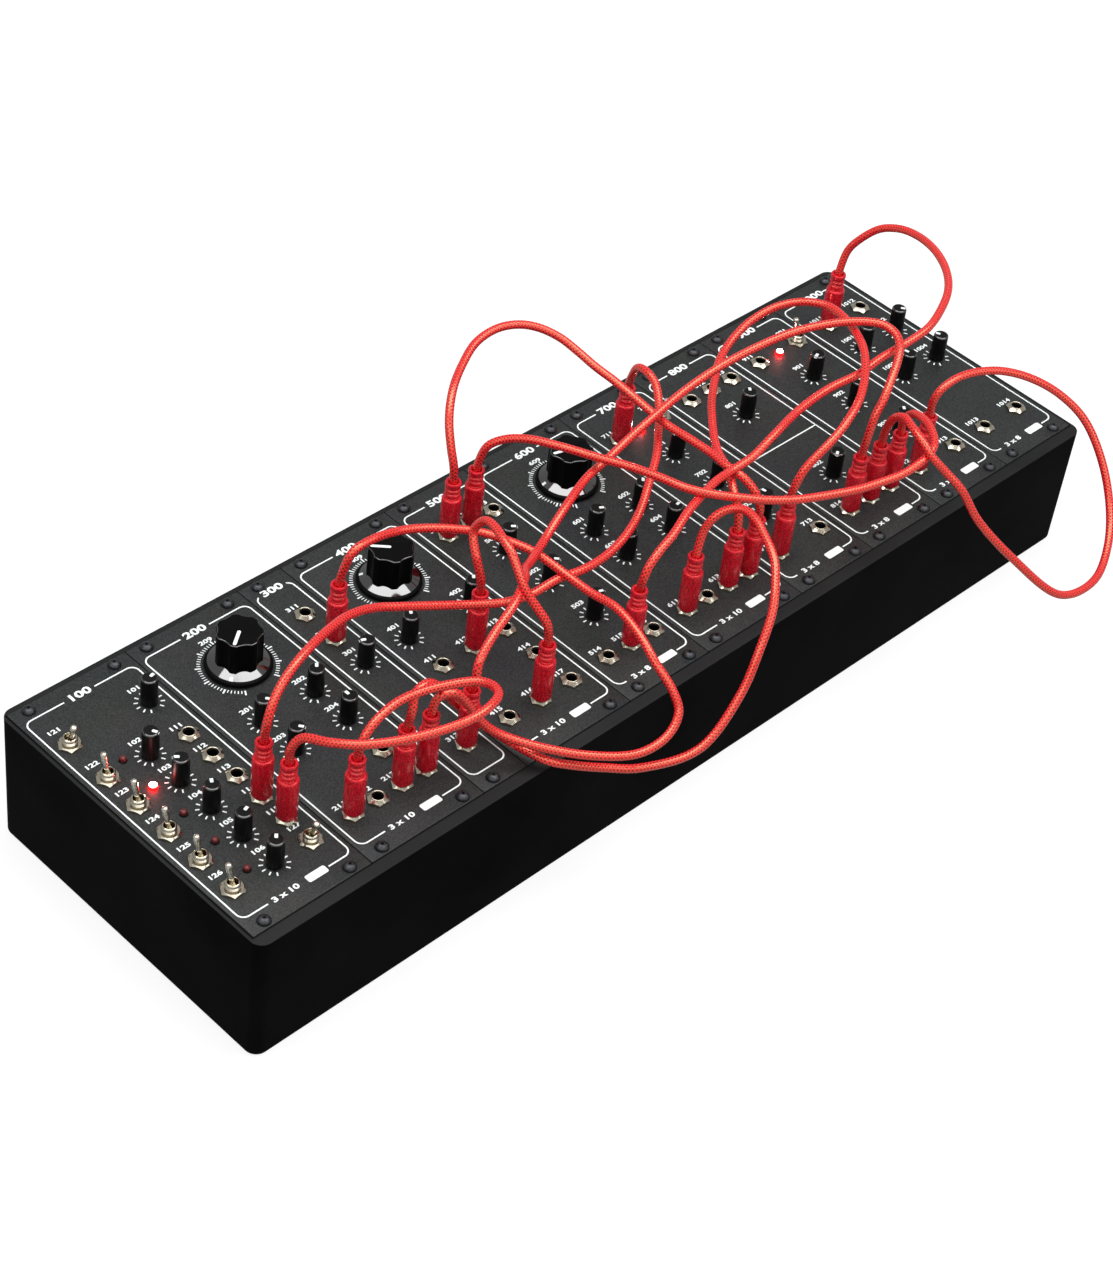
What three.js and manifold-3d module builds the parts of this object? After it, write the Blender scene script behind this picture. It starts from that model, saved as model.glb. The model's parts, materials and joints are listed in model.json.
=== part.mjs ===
// A tabletop modular synthesizer: ten panels on two rails in a shallow case, their circuit boards,
// turning knobs, tilting toggle levers and eleven patch leads.
// Millimetres, +X to the right, +Y to the rear, +Z up. The origin is under the middle of the case.
import * as THREE from "three";
import { mergeVertices } from "three/addons/utils/BufferGeometryUtils.js";
import Module from "manifold-3d";

const wasm = await Module();
wasm.setup();

// Clearance between pieces that rest on each other or run in each other
const fitGap = 0.3;
// How far a cut runs past the face it opens, and how far a joined detail sinks into what carries it
const overrun = 1;
const sink = 0.2;

// Panels
const unitWidth = 5.08;
const panelDepth = 128.5;
const panelThickness = 2;
const panelProud = 0.4;

// Case
const caseHeight = 55;
const sideWall = 1.3;
const frontWall = 2;
const rearWall = 2.1;
const floorThickness = 2;
const cornerRadius = 4.75;
const thinnestCorner = 0.3;
const ledgeWidth = 4.95;
const ledgeThickness = 1.6;

// Rails and panel screws. A panel of up to one column's units has screws on its left side only.
const railWidth = 6;
const railHeight = 10;
const railSlotWidth = 3.3;
const railSlotDepth = 7;
const screwSideInset = 7.1;
const oneColumnUnits = 4;
const screwEdgeInset = 3;
const screwHeadRadius = 2.5;
const screwHeadTopRadius = 1.6;
const screwHeadHeight = 1.8;
const screwShankRadius = 1.25;
const screwLength = 6;

// Small knobs
const knobRadius = 3.2;
const knobTopRadius = 2.95;
const knobChamferRadius = 2.5;
const knobHeight = 11.8;
const knobChamferDrop = 0.45;
const knobLift = 0.4;
const shaftRadius = 1.7;
const shaftDepth = 8;

// Large knobs
const skirtRadius = 12.25;
const skirtEdge = 1;
const skirtLift = 0.6;
const skirtHeight = 3.6;
const gripRadius = 8.5;
const gripValleyRadius = 7.6;
const gripHeight = 16.5;
const gripRidges = 7;
const gripRidgeShare = 0.3;
const largeShaftRadius = 3;

// Toggles: a lever on a ball in a threaded bush, leaning by one angle either way
const toggleNutFlats = 8;
const toggleNutHeight = 1.8;
const bushRadius = 2.7;
const bushBoreRadius = 2;
const bushTop = 3.9;
const bushDepth = 5;
const leverPivot = 1.2;
const leverLean = 15;
const leverLength = 9.6;
const leverTipRadius = 1.3;
const leverNeckRadius = 0.95;
const leverBallRadius = 1.6;
const leverTailRadius = 0.6;
const leverTail = 3.4;

// Jacks and the plugs of the leads
const jackNutFlats = 7.2;
const jackNutHeight = 2.2;
const jackBoreRadius = 1.85;
const plugTipRadius = 1.5;
const plugTipLength = 12.5;
const plugBodyRadius = 3.8;
const plugBodyTop = 19.6;
const bootRadius = 3.15;
const bootTopRadius = 2.6;
const bootTop = 27;

// Leads
const cordRadius = 1.6;
const cordSides = 8;
const cordStep = 11.4;

// Lamps
const lampRadius = 1.5;
const lampHeight = 2;

// Boards and what stands on them
const boardDrop = 13;
const boardThickness = 1.6;
const boardSideInset = 1;
const boardEdgeInset = 8.5;
const potWidth = 9.5;
const potDepth = 11.3;
const largePotSize = 16;
const switchWidth = 8;
const switchDepth = 9;
const jackBodyWidth = 9;
const jackBodyDepth = 10.5;
const socketFloor = 1;

// Supply: a bus board on posts at the rear, a flat ribbon up to each board and the inlet in the rear wall
const busLift = 5;
const busThickness = 1.6;
const busDepth = 22;
const busRearInset = 8;
const busSideInset = 20;
const postRadius = 3;
const postShares = [0.05, 0.35, 0.65, 0.95];
const ribbonWidth = 12;
const ribbonThickness = 1.2;
const ribbonRearInset = 14;
const inletWidth = 9;
const inletHeight = 11;
const inletSideInset = 30;
const inletBarrelRadius = 4;

// Numbers of sides of the round shapes
const fineSides = 28;
const roundSides = 8;
const coarseSides = 6;
const cornerSteps = 3;

// Rows that the panels share, as shares of the panel depth from its front edge
const lowShare = 0.156;
const topShare = 0.807;
const upperKnobShare = 0.66;
const stepShares = [0.651, 0.527, 0.403, 0.278, 0.153];
const stepLampShare = 0.028;
const stepPointers = [150, -51, 32, 70, 42];

// Each panel from left to right: its width in units, and its controls at shares of its width and depth.
// A pointer is in degrees clockwise from the rear, and a lean is towards the rear or the front.
const modules = [
  {
    name: "sequencer",
    units: 10,
    knobs: [
      { name: "rate", share: [0.819, 0.807], pointer: 74 },
      ...stepShares.map((y, i) => ({
        name: `step_${i + 1}`,
        share: [0.51, y],
        pointer: stepPointers[i],
      })),
    ],
    toggles: [
      { name: "step_count", share: [0.158, 0.81], lean: "front" },
      ...stepShares.map((y, i) => ({ name: `gate_${i + 1}`, share: [0.158, y], lean: "rear" })),
      { name: "cv_range", share: [0.821, 0.156], lean: "front" },
    ],
    jacks: {
      clockIn: { share: [0.821, 0.644] },
      clockOut: { share: [0.821, 0.546] },
      reset: { share: [0.821, 0.448] },
      gate: { share: [0.821, 0.35] },
      cv: { share: [0.821, 0.252] },
    },
    lamps: stepShares.map((y) => ({ share: [0.337, y + stepLampShare] })),
  },
  {
    name: "oscillator",
    units: 10,
    largeKnobs: [{ name: "coarse", share: [0.52, 0.77], pointer: -126 }],
    knobs: [
      { name: "fine", share: [0.286, 0.56], pointer: 142 },
      { name: "pulse_width", share: [0.754, 0.56], pointer: 41 },
      { name: "fm_level", share: [0.286, 0.427], pointer: 141 },
      { name: "pulse_mod", share: [0.754, 0.427], pointer: 0 },
    ],
    jacks: {
      pitch: { share: [0.187, lowShare] },
      pulseMod: { share: [0.404, lowShare] },
      outA: { share: [0.62, lowShare] },
      outB: { share: [0.837, lowShare] },
      fm: { share: [0.732, 0.28] },
    },
  },
  {
    name: "wavefolder",
    units: 4,
    knobs: [{ name: "fold", share: [0.54, 0.56], pointer: -66 }],
    jacks: {
      mod: { share: [0.515, topShare] },
      in: { share: [0.515, 0.681] },
      out: { share: [0.515, lowShare] },
    },
  },
  {
    name: "sample_hold",
    units: 10,
    largeKnobs: [{ name: "sample_rate", share: [0.517, 0.77], pointer: -47 }],
    knobs: [
      { name: "sample_level", share: [0.22, 0.558], pointer: 36 },
      { name: "slew", share: [0.819, 0.558], pointer: 40 },
    ],
    jacks: {
      levelIn: { share: [0.214, 0.418] },
      heldOut: { share: [0.513, 0.418] },
      slewIn: { share: [0.813, 0.418] },
      slewOut: { share: [0.813, 0.291] },
      noiseA: { share: [0.214, lowShare] },
      sampleIn: { share: [0.513, lowShare] },
      noiseB: { share: [0.813, lowShare] },
    },
  },
  {
    name: "mixer",
    units: 8,
    knobs: [
      { name: "mix_1", share: [0.526, upperKnobShare], pointer: 128 },
      { name: "mix_2", share: [0.526, 0.484], pointer: 135 },
      { name: "mix_3", share: [0.526, 0.305], pointer: 107 },
    ],
    jacks: {
      in1: { share: [0.227, topShare] },
      in2: { share: [0.514, topShare] },
      in3: { share: [0.802, topShare] },
      outLow: { share: [0.227, lowShare] },
      out: { share: [0.514, lowShare] },
      outHigh: { share: [0.802, lowShare] },
    },
  },
  {
    name: "filter",
    units: 10,
    largeKnobs: [{ name: "cutoff", share: [0.516, 0.77], pointer: -75 }],
    knobs: [
      { name: "filter_input", share: [0.277, 0.561], pointer: 121 },
      { name: "resonance", share: [0.757, 0.561], pointer: 45 },
      { name: "filter_fm", share: [0.277, 0.428], pointer: 79 },
      { name: "filter_cv", share: [0.757, 0.428], pointer: 79 },
    ],
    jacks: {
      in: { share: [0.187, lowShare] },
      fm: { share: [0.404, lowShare] },
      cv: { share: [0.62, lowShare] },
      out: { share: [0.837, lowShare] },
    },
  },
  {
    name: "envelope_1",
    units: 8,
    knobs: [
      { name: "attack_1", share: [0.518, upperKnobShare], pointer: -85 },
      { name: "decay_1", share: [0.518, 0.489], pointer: 45 },
      { name: "sustain_1", share: [0.518, 0.304], pointer: -8 },
    ],
    toggles: [{ name: "loop_1", share: [0.81, 0.815], lean: "front" }],
    jacks: {
      gate: { share: [0.227, topShare] },
      out: { share: [0.227, lowShare] },
      inverted: { share: [0.802, lowShare] },
    },
    lamps: [{ share: [0.52, topShare] }],
  },
  {
    name: "amplifier",
    units: 8,
    knobs: [
      { name: "offset_1", share: [0.519, upperKnobShare], pointer: 37 },
      { name: "offset_2", share: [0.519, 0.302], pointer: -122 },
    ],
    jacks: {
      in1: { share: [0.227, topShare] },
      cv1: { share: [0.514, topShare] },
      out1: { share: [0.802, topShare] },
      in2: { share: [0.227, lowShare] },
      cv2: { share: [0.514, lowShare] },
      out2: { share: [0.802, lowShare] },
    },
  },
  {
    name: "envelope_2",
    units: 8,
    knobs: [
      { name: "attack_2", share: [0.517, upperKnobShare], pointer: -107 },
      { name: "decay_2", share: [0.517, 0.489], pointer: 49 },
      { name: "sustain_2", share: [0.517, 0.305], pointer: 39 },
    ],
    toggles: [{ name: "loop_2", share: [0.81, 0.815], lean: "rear" }],
    jacks: {
      gate: { share: [0.227, topShare] },
      out: { share: [0.227, lowShare] },
      inverted: { share: [0.802, lowShare] },
    },
    lamps: [{ share: [0.52, topShare] }],
  },
  {
    name: "output",
    units: 8,
    knobs: [
      { name: "level_left", share: [0.273, upperKnobShare], pointer: 49 },
      { name: "level_right", share: [0.766, upperKnobShare], pointer: 141 },
      { name: "pan_left", share: [0.273, 0.485], pointer: -13 },
      { name: "pan_right", share: [0.766, 0.485], pointer: -25 },
    ],
    jacks: {
      inLeft: { share: [0.26, topShare] },
      inRight: { share: [0.756, topShare] },
      headphones: { share: [0.26, lowShare] },
      line: { share: [0.756, lowShare] },
    },
  },
];

// Patch leads: the jacks that each joins, and the points that its cord passes between its two plugs,
// from the front left corner of the panel row's top. Leads of one side rest on each other.
const leads = [
  {
    side: "left",
    ends: ["sequencer.gate", "envelope_1.gate"],
    route: [
      [41, 43, 38], [46, 45, 45], [54, 47.6, 49], [64.4, 51, 50], [77.6, 55.6, 48], [90.4, 59, 45],
      [102.4, 59.6, 41], [112, 57, 38], [125, 53, 34], [137, 48.4, 31], [149.6, 43.4, 28.6],
      [160, 41, 28.2], [172, 40, 29.4], [183.6, 38.4, 28.8], [197, 39.4, 28], [210, 42.4, 29],
      [221, 47, 31], [234, 55, 34], [243.6, 61.4, 36], [251, 68, 37.6], [257.6, 74, 39],
      [263, 80, 41], [267, 86, 43], [268.4, 92, 44], [270.4, 98, 41], [271.6, 101, 35],
    ],
  },
  {
    side: "left",
    ends: ["sequencer.cv", "oscillator.pitch"],
    route: [
      [41, 31, 35], [43, 28.6, 40], [46, 18.6, 44], [52, 10, 46], [61, 3.6, 47], [73, -2, 48],
      [84.6, -5.4, 49], [93.6, -5, 49], [100.6, -2, 48], [103.6, 4, 46], [102, 9.6, 44.4],
      [95, 15.2, 42.8], [86, 18.8, 42.4], [76, 20.2, 42], [66, 19.6, 39.4], [61, 19, 35],
    ],
  },
  {
    side: "left",
    ends: ["oscillator.outB", "wavefolder.in"],
    route: [
      [95.4, 19.2, 34], [100, 16.6, 35], [104, 14.6, 29.6], [108, 12.6, 21.6], [113.4, 9, 14.6],
      [122, 0, 10], [137.4, -14, 6], [152.4, -23.4, 5], [164, -25.4, 8], [171, -23, 13],
      [172, -18, 19], [171.4, -9, 26], [173.4, 1, 30], [175.4, 14.6, 32], [175, 27, 30.8],
      [173.6, 42.4, 32.2], [170.6, 51.4, 35], [168, 59.4, 35.2], [164.6, 69, 34.6], [160, 74.4, 35],
      [147.6, 82.4, 37], [137.6, 85.4, 39], [124.6, 85.4, 42], [115.6, 85.4, 41],
    ],
  },
  {
    side: "left",
    ends: ["oscillator.outA", "filter.in"],
    route: [
      [82, 18.2, 36.2], [84.4, 19.8, 41.6], [90.4, 20.6, 42.2], [96.4, 20.2, 37],
      [101.4, 22.4, 29.6], [108, 25.4, 20.4], [115, 25.4, 11], [119.6, 19, 5.4], [125.6, -4.6, 4],
      [133, -10, 1], [144.6, -16, -3], [155.6, -22.4, -5], [178, -29.6, -4], [196.4, -29, 10],
      [206.4, -26.4, 24], [216.4, -21.6, 34], [223, -15.6, 40], [227, -11, 43], [229.6, -6, 45],
      [232, -0.4, 46.4], [234, 5, 47.6], [235, 11, 47.6], [234, 15, 46.4], [231.6, 18, 44.4],
      [228.4, 20, 41], [226, 21, 36],
    ],
  },
  {
    side: "left",
    ends: ["wavefolder.out", "amplifier.in2"],
    route: [
      [111.6, 18.4, 33.6], [112.6, 19, 39], [117.6, 21, 42], [123, 23, 43.6], [136.6, 27.4, 47],
      [148, 34.4, 47], [154.6, 40.4, 43.4], [163, 45.6, 38.8], [176, 52, 36.8], [191.4, 57.6, 40],
      [209, 64, 41], [219.4, 65.6, 42], [230.4, 67, 44], [244.4, 67.6, 48], [264.4, 69, 51.6],
      [281.6, 67.6, 55.6], [297, 64, 59.6], [311.6, 59.6, 62.4], [324.4, 53.6, 64], [332, 49, 64.4],
      [338, 44, 64.4], [341, 39.6, 64], [341, 34, 63], [338, 29.6, 61.6], [333, 26, 59],
      [327, 23, 55.6], [321, 20.4, 51], [316.4, 19.6, 45.6], [314, 19, 38],
    ],
  },
  {
    side: "right",
    ends: ["envelope_1.out", "filter.cv"],
    route: [
      [274, 19, 35], [277, 18.4, 41], [282.6, 17.4, 46], [289, 17, 50], [296.6, 18, 53.6],
      [305.6, 21, 56.6], [314, 26, 58.6], [320.6, 31.4, 60], [327, 38, 60.6], [332, 45.6, 60.4],
      [336.4, 55, 60], [339, 66, 58.4], [336, 75.6, 56], [329.6, 83, 52], [320, 86.4, 47.6],
      [309, 85.6, 44], [298, 81.4, 42], [288.6, 75, 40.6], [279, 67.4, 39.6], [272, 60.4, 39],
      [264.6, 52.4, 39], [258, 44, 40.2], [252.2, 34.4, 42], [247.6, 27.4, 40], [245.6, 22, 35.2],
    ],
  },
  {
    side: "right",
    ends: ["filter.out", "mixer.in1"],
    route: [
      [255, 19.4, 33], [254.4, 21.4, 37.6], [253.2, 25, 41.6], [251.8, 29.4, 44], [251.2, 36, 44.4],
      [252.4, 43, 44], [252, 55.6, 44], [251.4, 64.6, 44], [250.4, 82.6, 47], [249.4, 91, 49],
      [247.4, 99.6, 51.4], [246, 107.6, 54], [243.6, 115, 57], [239, 121.6, 59.6], [233, 126.4, 61],
      [225, 129.6, 61], [214.4, 129.6, 59.6], [204, 125.6, 57], [193, 119, 54], [185.6, 112.4, 48],
      [182.4, 107, 40], [181.6, 104, 33.6],
    ],
  },
  {
    side: "right",
    ends: ["amplifier.out2", "mixer.in2"],
    route: [
      [335.4, 19, 34.6], [335.4, 16, 39.6], [332, 9, 43.6], [327, 1, 45.6], [321.4, -5.2, 45.6],
      [316.4, -7.2, 44.6], [311, -7.6, 43.6], [303.4, -6.6, 41.6], [294, -4, 40.6],
      [284.4, -1.6, 40.6], [279, -0, 41], [268, 3.6, 42], [257, 7.6, 43.4], [247.4, 12, 45.4],
      [238.4, 17, 47.8], [230.4, 23.6, 49.2], [225, 31, 49.8], [222, 41.6, 49.4], [219, 52.6, 48.4],
      [214.4, 64, 47.4], [208.4, 78.6, 46.4], [204, 89, 45], [199.6, 97, 42], [195.6, 101.6, 37.6],
    ],
  },
  {
    side: "right",
    ends: ["envelope_2.out", "amplifier.cv2"],
    route: [
      [353.6, 19.6, 34], [355, 18.6, 39.4], [361.6, 17.6, 42.4], [370, 15.6, 43], [381, 10.6, 42],
      [392, 3, 38], [401.6, -6, 31], [407.6, -16, 22], [408.4, -27.6, 9], [403.6, -39, -4],
      [392.4, -49, -12], [376, -56, -16], [354, -55, -12], [336.6, -41, 6], [326, -28.4, 22],
      [321.6, -21, 34], [317.6, -14.4, 40.8], [314.6, -9.8, 45.8], [314.6, -4.4, 49.4],
      [316.6, 2, 50.4], [320.6, 9.6, 49], [322.6, 15, 44.4], [323.6, 18, 37.4],
    ],
  },
  {
    side: "right",
    ends: ["mixer.out", "output.inLeft"],
    route: [
      [192.6, 18.4, 33], [194.6, 18.4, 38], [200, 19, 42], [208, 20.4, 44.6], [218.6, 24, 46.6],
      [229, 27, 46.8], [239, 29.4, 46.8], [249.2, 30.6, 46], [259.2, 30, 47.6], [270.6, 31, 51],
      [288.6, 34.6, 52], [306.6, 35.6, 53], [320.6, 33.6, 54.4], [332.4, 33.6, 56], [340, 33, 57],
      [347, 32, 58.4], [358, 32, 60], [370.4, 36, 61], [381.6, 42, 61.6], [392, 51.6, 61],
      [400.4, 64, 59.6], [405.6, 76.4, 57], [407.6, 87, 53.6], [406, 95, 49.6], [402.4, 100, 44],
      [399.6, 103.6, 37],
    ],
  },
  {
    side: "left",
    ends: ["sample_hold.heldOut", "sample_hold.sampleIn"],
    route: [
      [146.4, 53, 35], [145.4, 55, 43], [147, 58.6, 47], [148.4, 60.6, 50], [149.4, 59, 54.4],
      [149.4, 56, 57.4], [148, 50.6, 59], [145.4, 43.6, 59.4], [144, 38, 58], [143, 33.6, 54.4],
      [142.4, 28.6, 49], [144, 24, 43.4], [146, 20, 37.4],
    ],
  },
];

// Sizes that follow from the ones above. Heights are from the panels' top, and depths go down from it.
const rowLength = unitWidth * modules.reduce((sum, { units }) => sum + units, 0);
const caseWidth = rowLength + 2 * (fitGap + sideWall);
const caseDepth = ledgeWidth + fitGap + panelDepth + fitGap + rearWall;
const caseTop = -panelProud;
const caseBase = caseTop - caseHeight;
const caseFront = -fitGap - ledgeWidth;
const caseRear = panelDepth + fitGap + rearWall;
const caseLeft = -fitGap - sideWall;
const caseRight = rowLength + fitGap + sideWall;
const caseFloor = caseBase + floorThickness;
const underPanel = -panelThickness - fitGap;
const boardTop = -boardDrop;
const boardBottom = boardTop - boardThickness;
const busBottom = caseFloor + busLift;
const busTop = busBottom + busThickness;
const busRear = panelDepth - busRearInset;
const inletX = rowLength - inletSideInset;
const inletZ = busTop + inletHeight / 2;
const plugBase = jackNutHeight + fitGap;

// A closed geometry as a solid that can be joined and cut
function solid(geometry, x = 0, y = 0, z = 0) {
  const bare = geometry.translate(x, y, z);
  bare.deleteAttribute("normal");
  bare.deleteAttribute("uv");
  const merged = mergeVertices(bare);
  return new wasm.Manifold(
    new wasm.Mesh({
      numProp: 3,
      vertProperties: merged.attributes.position.array,
      triVerts: new Uint32Array(merged.index.array),
    }),
  );
}

// A box between two corners
function block([x0, y0, z0], [x1, y1, z1]) {
  const box = new THREE.BoxGeometry(x1 - x0, y1 - y0, z1 - z0);
  return solid(box, (x0 + x1) / 2, (y0 + y1) / 2, (z0 + z1) / 2);
}

// A box centred on a place, between two heights
function pillar([x, y], width, depth, low, high) {
  return block([x - width / 2, y - depth / 2, low], [x + width / 2, y + depth / 2, high]);
}

// A profile of [radius, height] points turned about an upright axis at a place
function turned(profile, sides, [x, y] = [0, 0]) {
  const points = profile.map(([r, z]) => new THREE.Vector2(r, z));
  return solid(new THREE.LatheGeometry(points, sides).rotateX(Math.PI / 2), x, y);
}

// An upright cylinder between two heights
function rod(radius, low, high, sides, place) {
  return turned([[0, low], [radius, low], [radius, high], [0, high]], sides, place);
}

// A hexagon nut of a width across flats, standing on the panel
function nut(flats, height, place) {
  return rod(flats / Math.sqrt(3), -sink, height, 6, place);
}

// An outline extruded upwards between two heights
function upright(shape, low, high) {
  const depth = high - low;
  const geometry = new THREE.ExtrudeGeometry(shape, {
    depth,
    bevelEnabled: false,
    curveSegments: cornerSteps,
  });
  return solid(geometry, 0, 0, low);
}

function join(solids) {
  return solids.reduce((whole, piece) => whole.add(piece));
}

function cut(whole, tools) {
  return tools.reduce((rest, tool) => rest.subtract(tool), whole);
}

// A solid as a geometry
function geometryOf(piece) {
  const { vertProperties, triVerts } = piece.getMesh();
  const geometry = new THREE.BufferGeometry();
  geometry.setAttribute("position", new THREE.BufferAttribute(vertProperties, 3));
  geometry.setIndex(new THREE.BufferAttribute(triVerts, 1));
  geometry.computeVertexNormals();
  return geometry;
}

// Finishes
const casePaint = new THREE.MeshStandardMaterial({ color: 0x17181a, roughness: 0.55 });
const panelPaint = new THREE.MeshStandardMaterial({ color: 0x2f3033, roughness: 0.7 });
const railMetal = new THREE.MeshStandardMaterial({ color: 0xb8babd, roughness: 0.4, metalness: 1 });
const boardGreen = new THREE.MeshStandardMaterial({ color: 0x1f4a35, roughness: 0.6 });
const knobBlack = new THREE.MeshStandardMaterial({ color: 0x101113, roughness: 0.45 });
const leverMetal = new THREE.MeshStandardMaterial({ color: 0xd0d2d4, roughness: 0.2, metalness: 1 });
const leadRed = new THREE.MeshStandardMaterial({ color: 0xc4161c, roughness: 0.5 });

const row = new THREE.Group();
row.position.set(-rowLength / 2, -caseDepth / 2 - caseFront, -caseBase);

function place(name, piece, material, x = 0, y = 0, z = 0) {
  const mesh = new THREE.Mesh(geometryOf(piece), material);
  mesh.name = name;
  mesh.position.set(x, y, z);
  row.add(mesh);
  return mesh;
}

// Each control's place in the row, from its panel's left edge and its shares
let left = 0;
for (const module of modules) {
  module.left = left;
  module.width = module.units * unitWidth;
  left += module.width;
  module.knobs ??= [];
  module.largeKnobs ??= [];
  module.toggles ??= [];
  module.lamps ??= [];
  const jacks = Object.values(module.jacks);
  const { knobs, largeKnobs, toggles, lamps } = module;
  for (const item of [...knobs, ...largeKnobs, ...toggles, ...jacks, ...lamps]) {
    item.at = [module.left + item.share[0] * module.width, item.share[1] * panelDepth];
  }
}

// The largest outer radius that keeps the thinnest corner round a square inner corner
function cornerLimit(a, b) {
  const sum = a + b - thinnestCorner;
  return sum + Math.sqrt(sum ** 2 - a ** 2 - b ** 2 + thinnestCorner ** 2);
}

// Case: one tub with a ledge along the front, and the inlet hole in its rear wall
function makeCase() {
  const radius = Math.min(cornerRadius, cornerLimit(sideWall, Math.min(frontWall, rearWall)));
  const outline = new THREE.Shape();
  outline.absarc(caseRight - radius, caseFront + radius, radius, -Math.PI / 2, 0);
  outline.absarc(caseRight - radius, caseRear - radius, radius, 0, Math.PI / 2);
  outline.absarc(caseLeft + radius, caseRear - radius, radius, Math.PI / 2, Math.PI);
  outline.absarc(caseLeft + radius, caseFront + radius, radius, Math.PI, 1.5 * Math.PI);
  const innerLeft = caseLeft + sideWall;
  const innerRight = caseRight - sideWall;
  const innerRear = caseRear - rearWall;
  const ledgeBottom = caseTop - ledgeThickness;
  const cavity = block([innerLeft, caseFront + frontWall, caseFloor], [innerRight, innerRear, ledgeBottom]);
  const mouth = block([innerLeft, -fitGap, ledgeBottom - sink], [innerRight, innerRear, caseTop + overrun]);
  const inletHole = new THREE.CylinderGeometry(
    inletBarrelRadius + fitGap,
    inletBarrelRadius + fitGap,
    rearWall + 2 * overrun,
    roundSides,
  );
  const hole = solid(inletHole, inletX, innerRear + rearWall / 2, inletZ);
  place("case_tub", cut(upright(outline, caseBase, caseTop), [cavity, mouth, hole]), casePaint);
}

// Rails: a slotted bar under each row of screws
function makeRail(name, y) {
  const middle = [rowLength / 2, y];
  const slotBottom = underPanel - railSlotDepth;
  const slot = pillar(middle, rowLength + 2 * overrun, railSlotWidth, slotBottom, underPanel + overrun);
  const bar = pillar(middle, rowLength, railWidth, underPanel - railHeight, underPanel);
  place(name, cut(bar, [slot]), railMetal);
}

// One panel with its screws, jack nuts and toggle bushes
function makePanel(module) {
  const right = module.left + module.width - fitGap / 2;
  const plate = block([module.left + fitGap / 2, 0, -panelThickness], [right, panelDepth, 0]);
  const profile = [
    [0, -screwLength],
    [screwShankRadius, -screwLength],
    [screwShankRadius, -sink],
    [screwHeadRadius, -sink],
    [screwHeadRadius, 0],
    [screwHeadTopRadius, screwHeadHeight],
    [0, screwHeadHeight],
  ];
  const columns = [module.left + screwSideInset];
  if (module.units > oneColumnUnits) columns.push(module.left + module.width - screwSideInset);
  const added = [];
  const cuts = [];
  for (const x of columns) {
    added.push(turned(profile, coarseSides, [x, screwEdgeInset]));
    added.push(turned(profile, coarseSides, [x, panelDepth - screwEdgeInset]));
  }
  for (const { at } of Object.values(module.jacks)) {
    added.push(nut(jackNutFlats, jackNutHeight, at));
    cuts.push(rod(jackBoreRadius, -panelThickness - overrun, jackNutHeight + overrun, roundSides, at));
  }
  for (const { at } of module.toggles) {
    added.push(nut(toggleNutFlats, toggleNutHeight, at));
    added.push(rod(bushRadius, -bushDepth, bushTop, coarseSides, at));
    cuts.push(rod(bushBoreRadius, -bushDepth - overrun, bushTop + overrun, coarseSides, at));
  }
  for (const { at } of module.knobs) {
    cuts.push(rod(shaftRadius + 2 * fitGap, -panelThickness - overrun, overrun, coarseSides, at));
  }
  for (const { at } of module.largeKnobs) {
    cuts.push(rod(largeShaftRadius + 2 * fitGap, -panelThickness - overrun, overrun, roundSides, at));
  }
  for (const { at } of module.lamps) {
    cuts.push(rod(lampRadius + fitGap, -panelThickness - overrun, overrun, coarseSides, at));
  }
  place(`${module.name}_panel`, cut(join([plate, ...added]), cuts), panelPaint);
}

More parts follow.
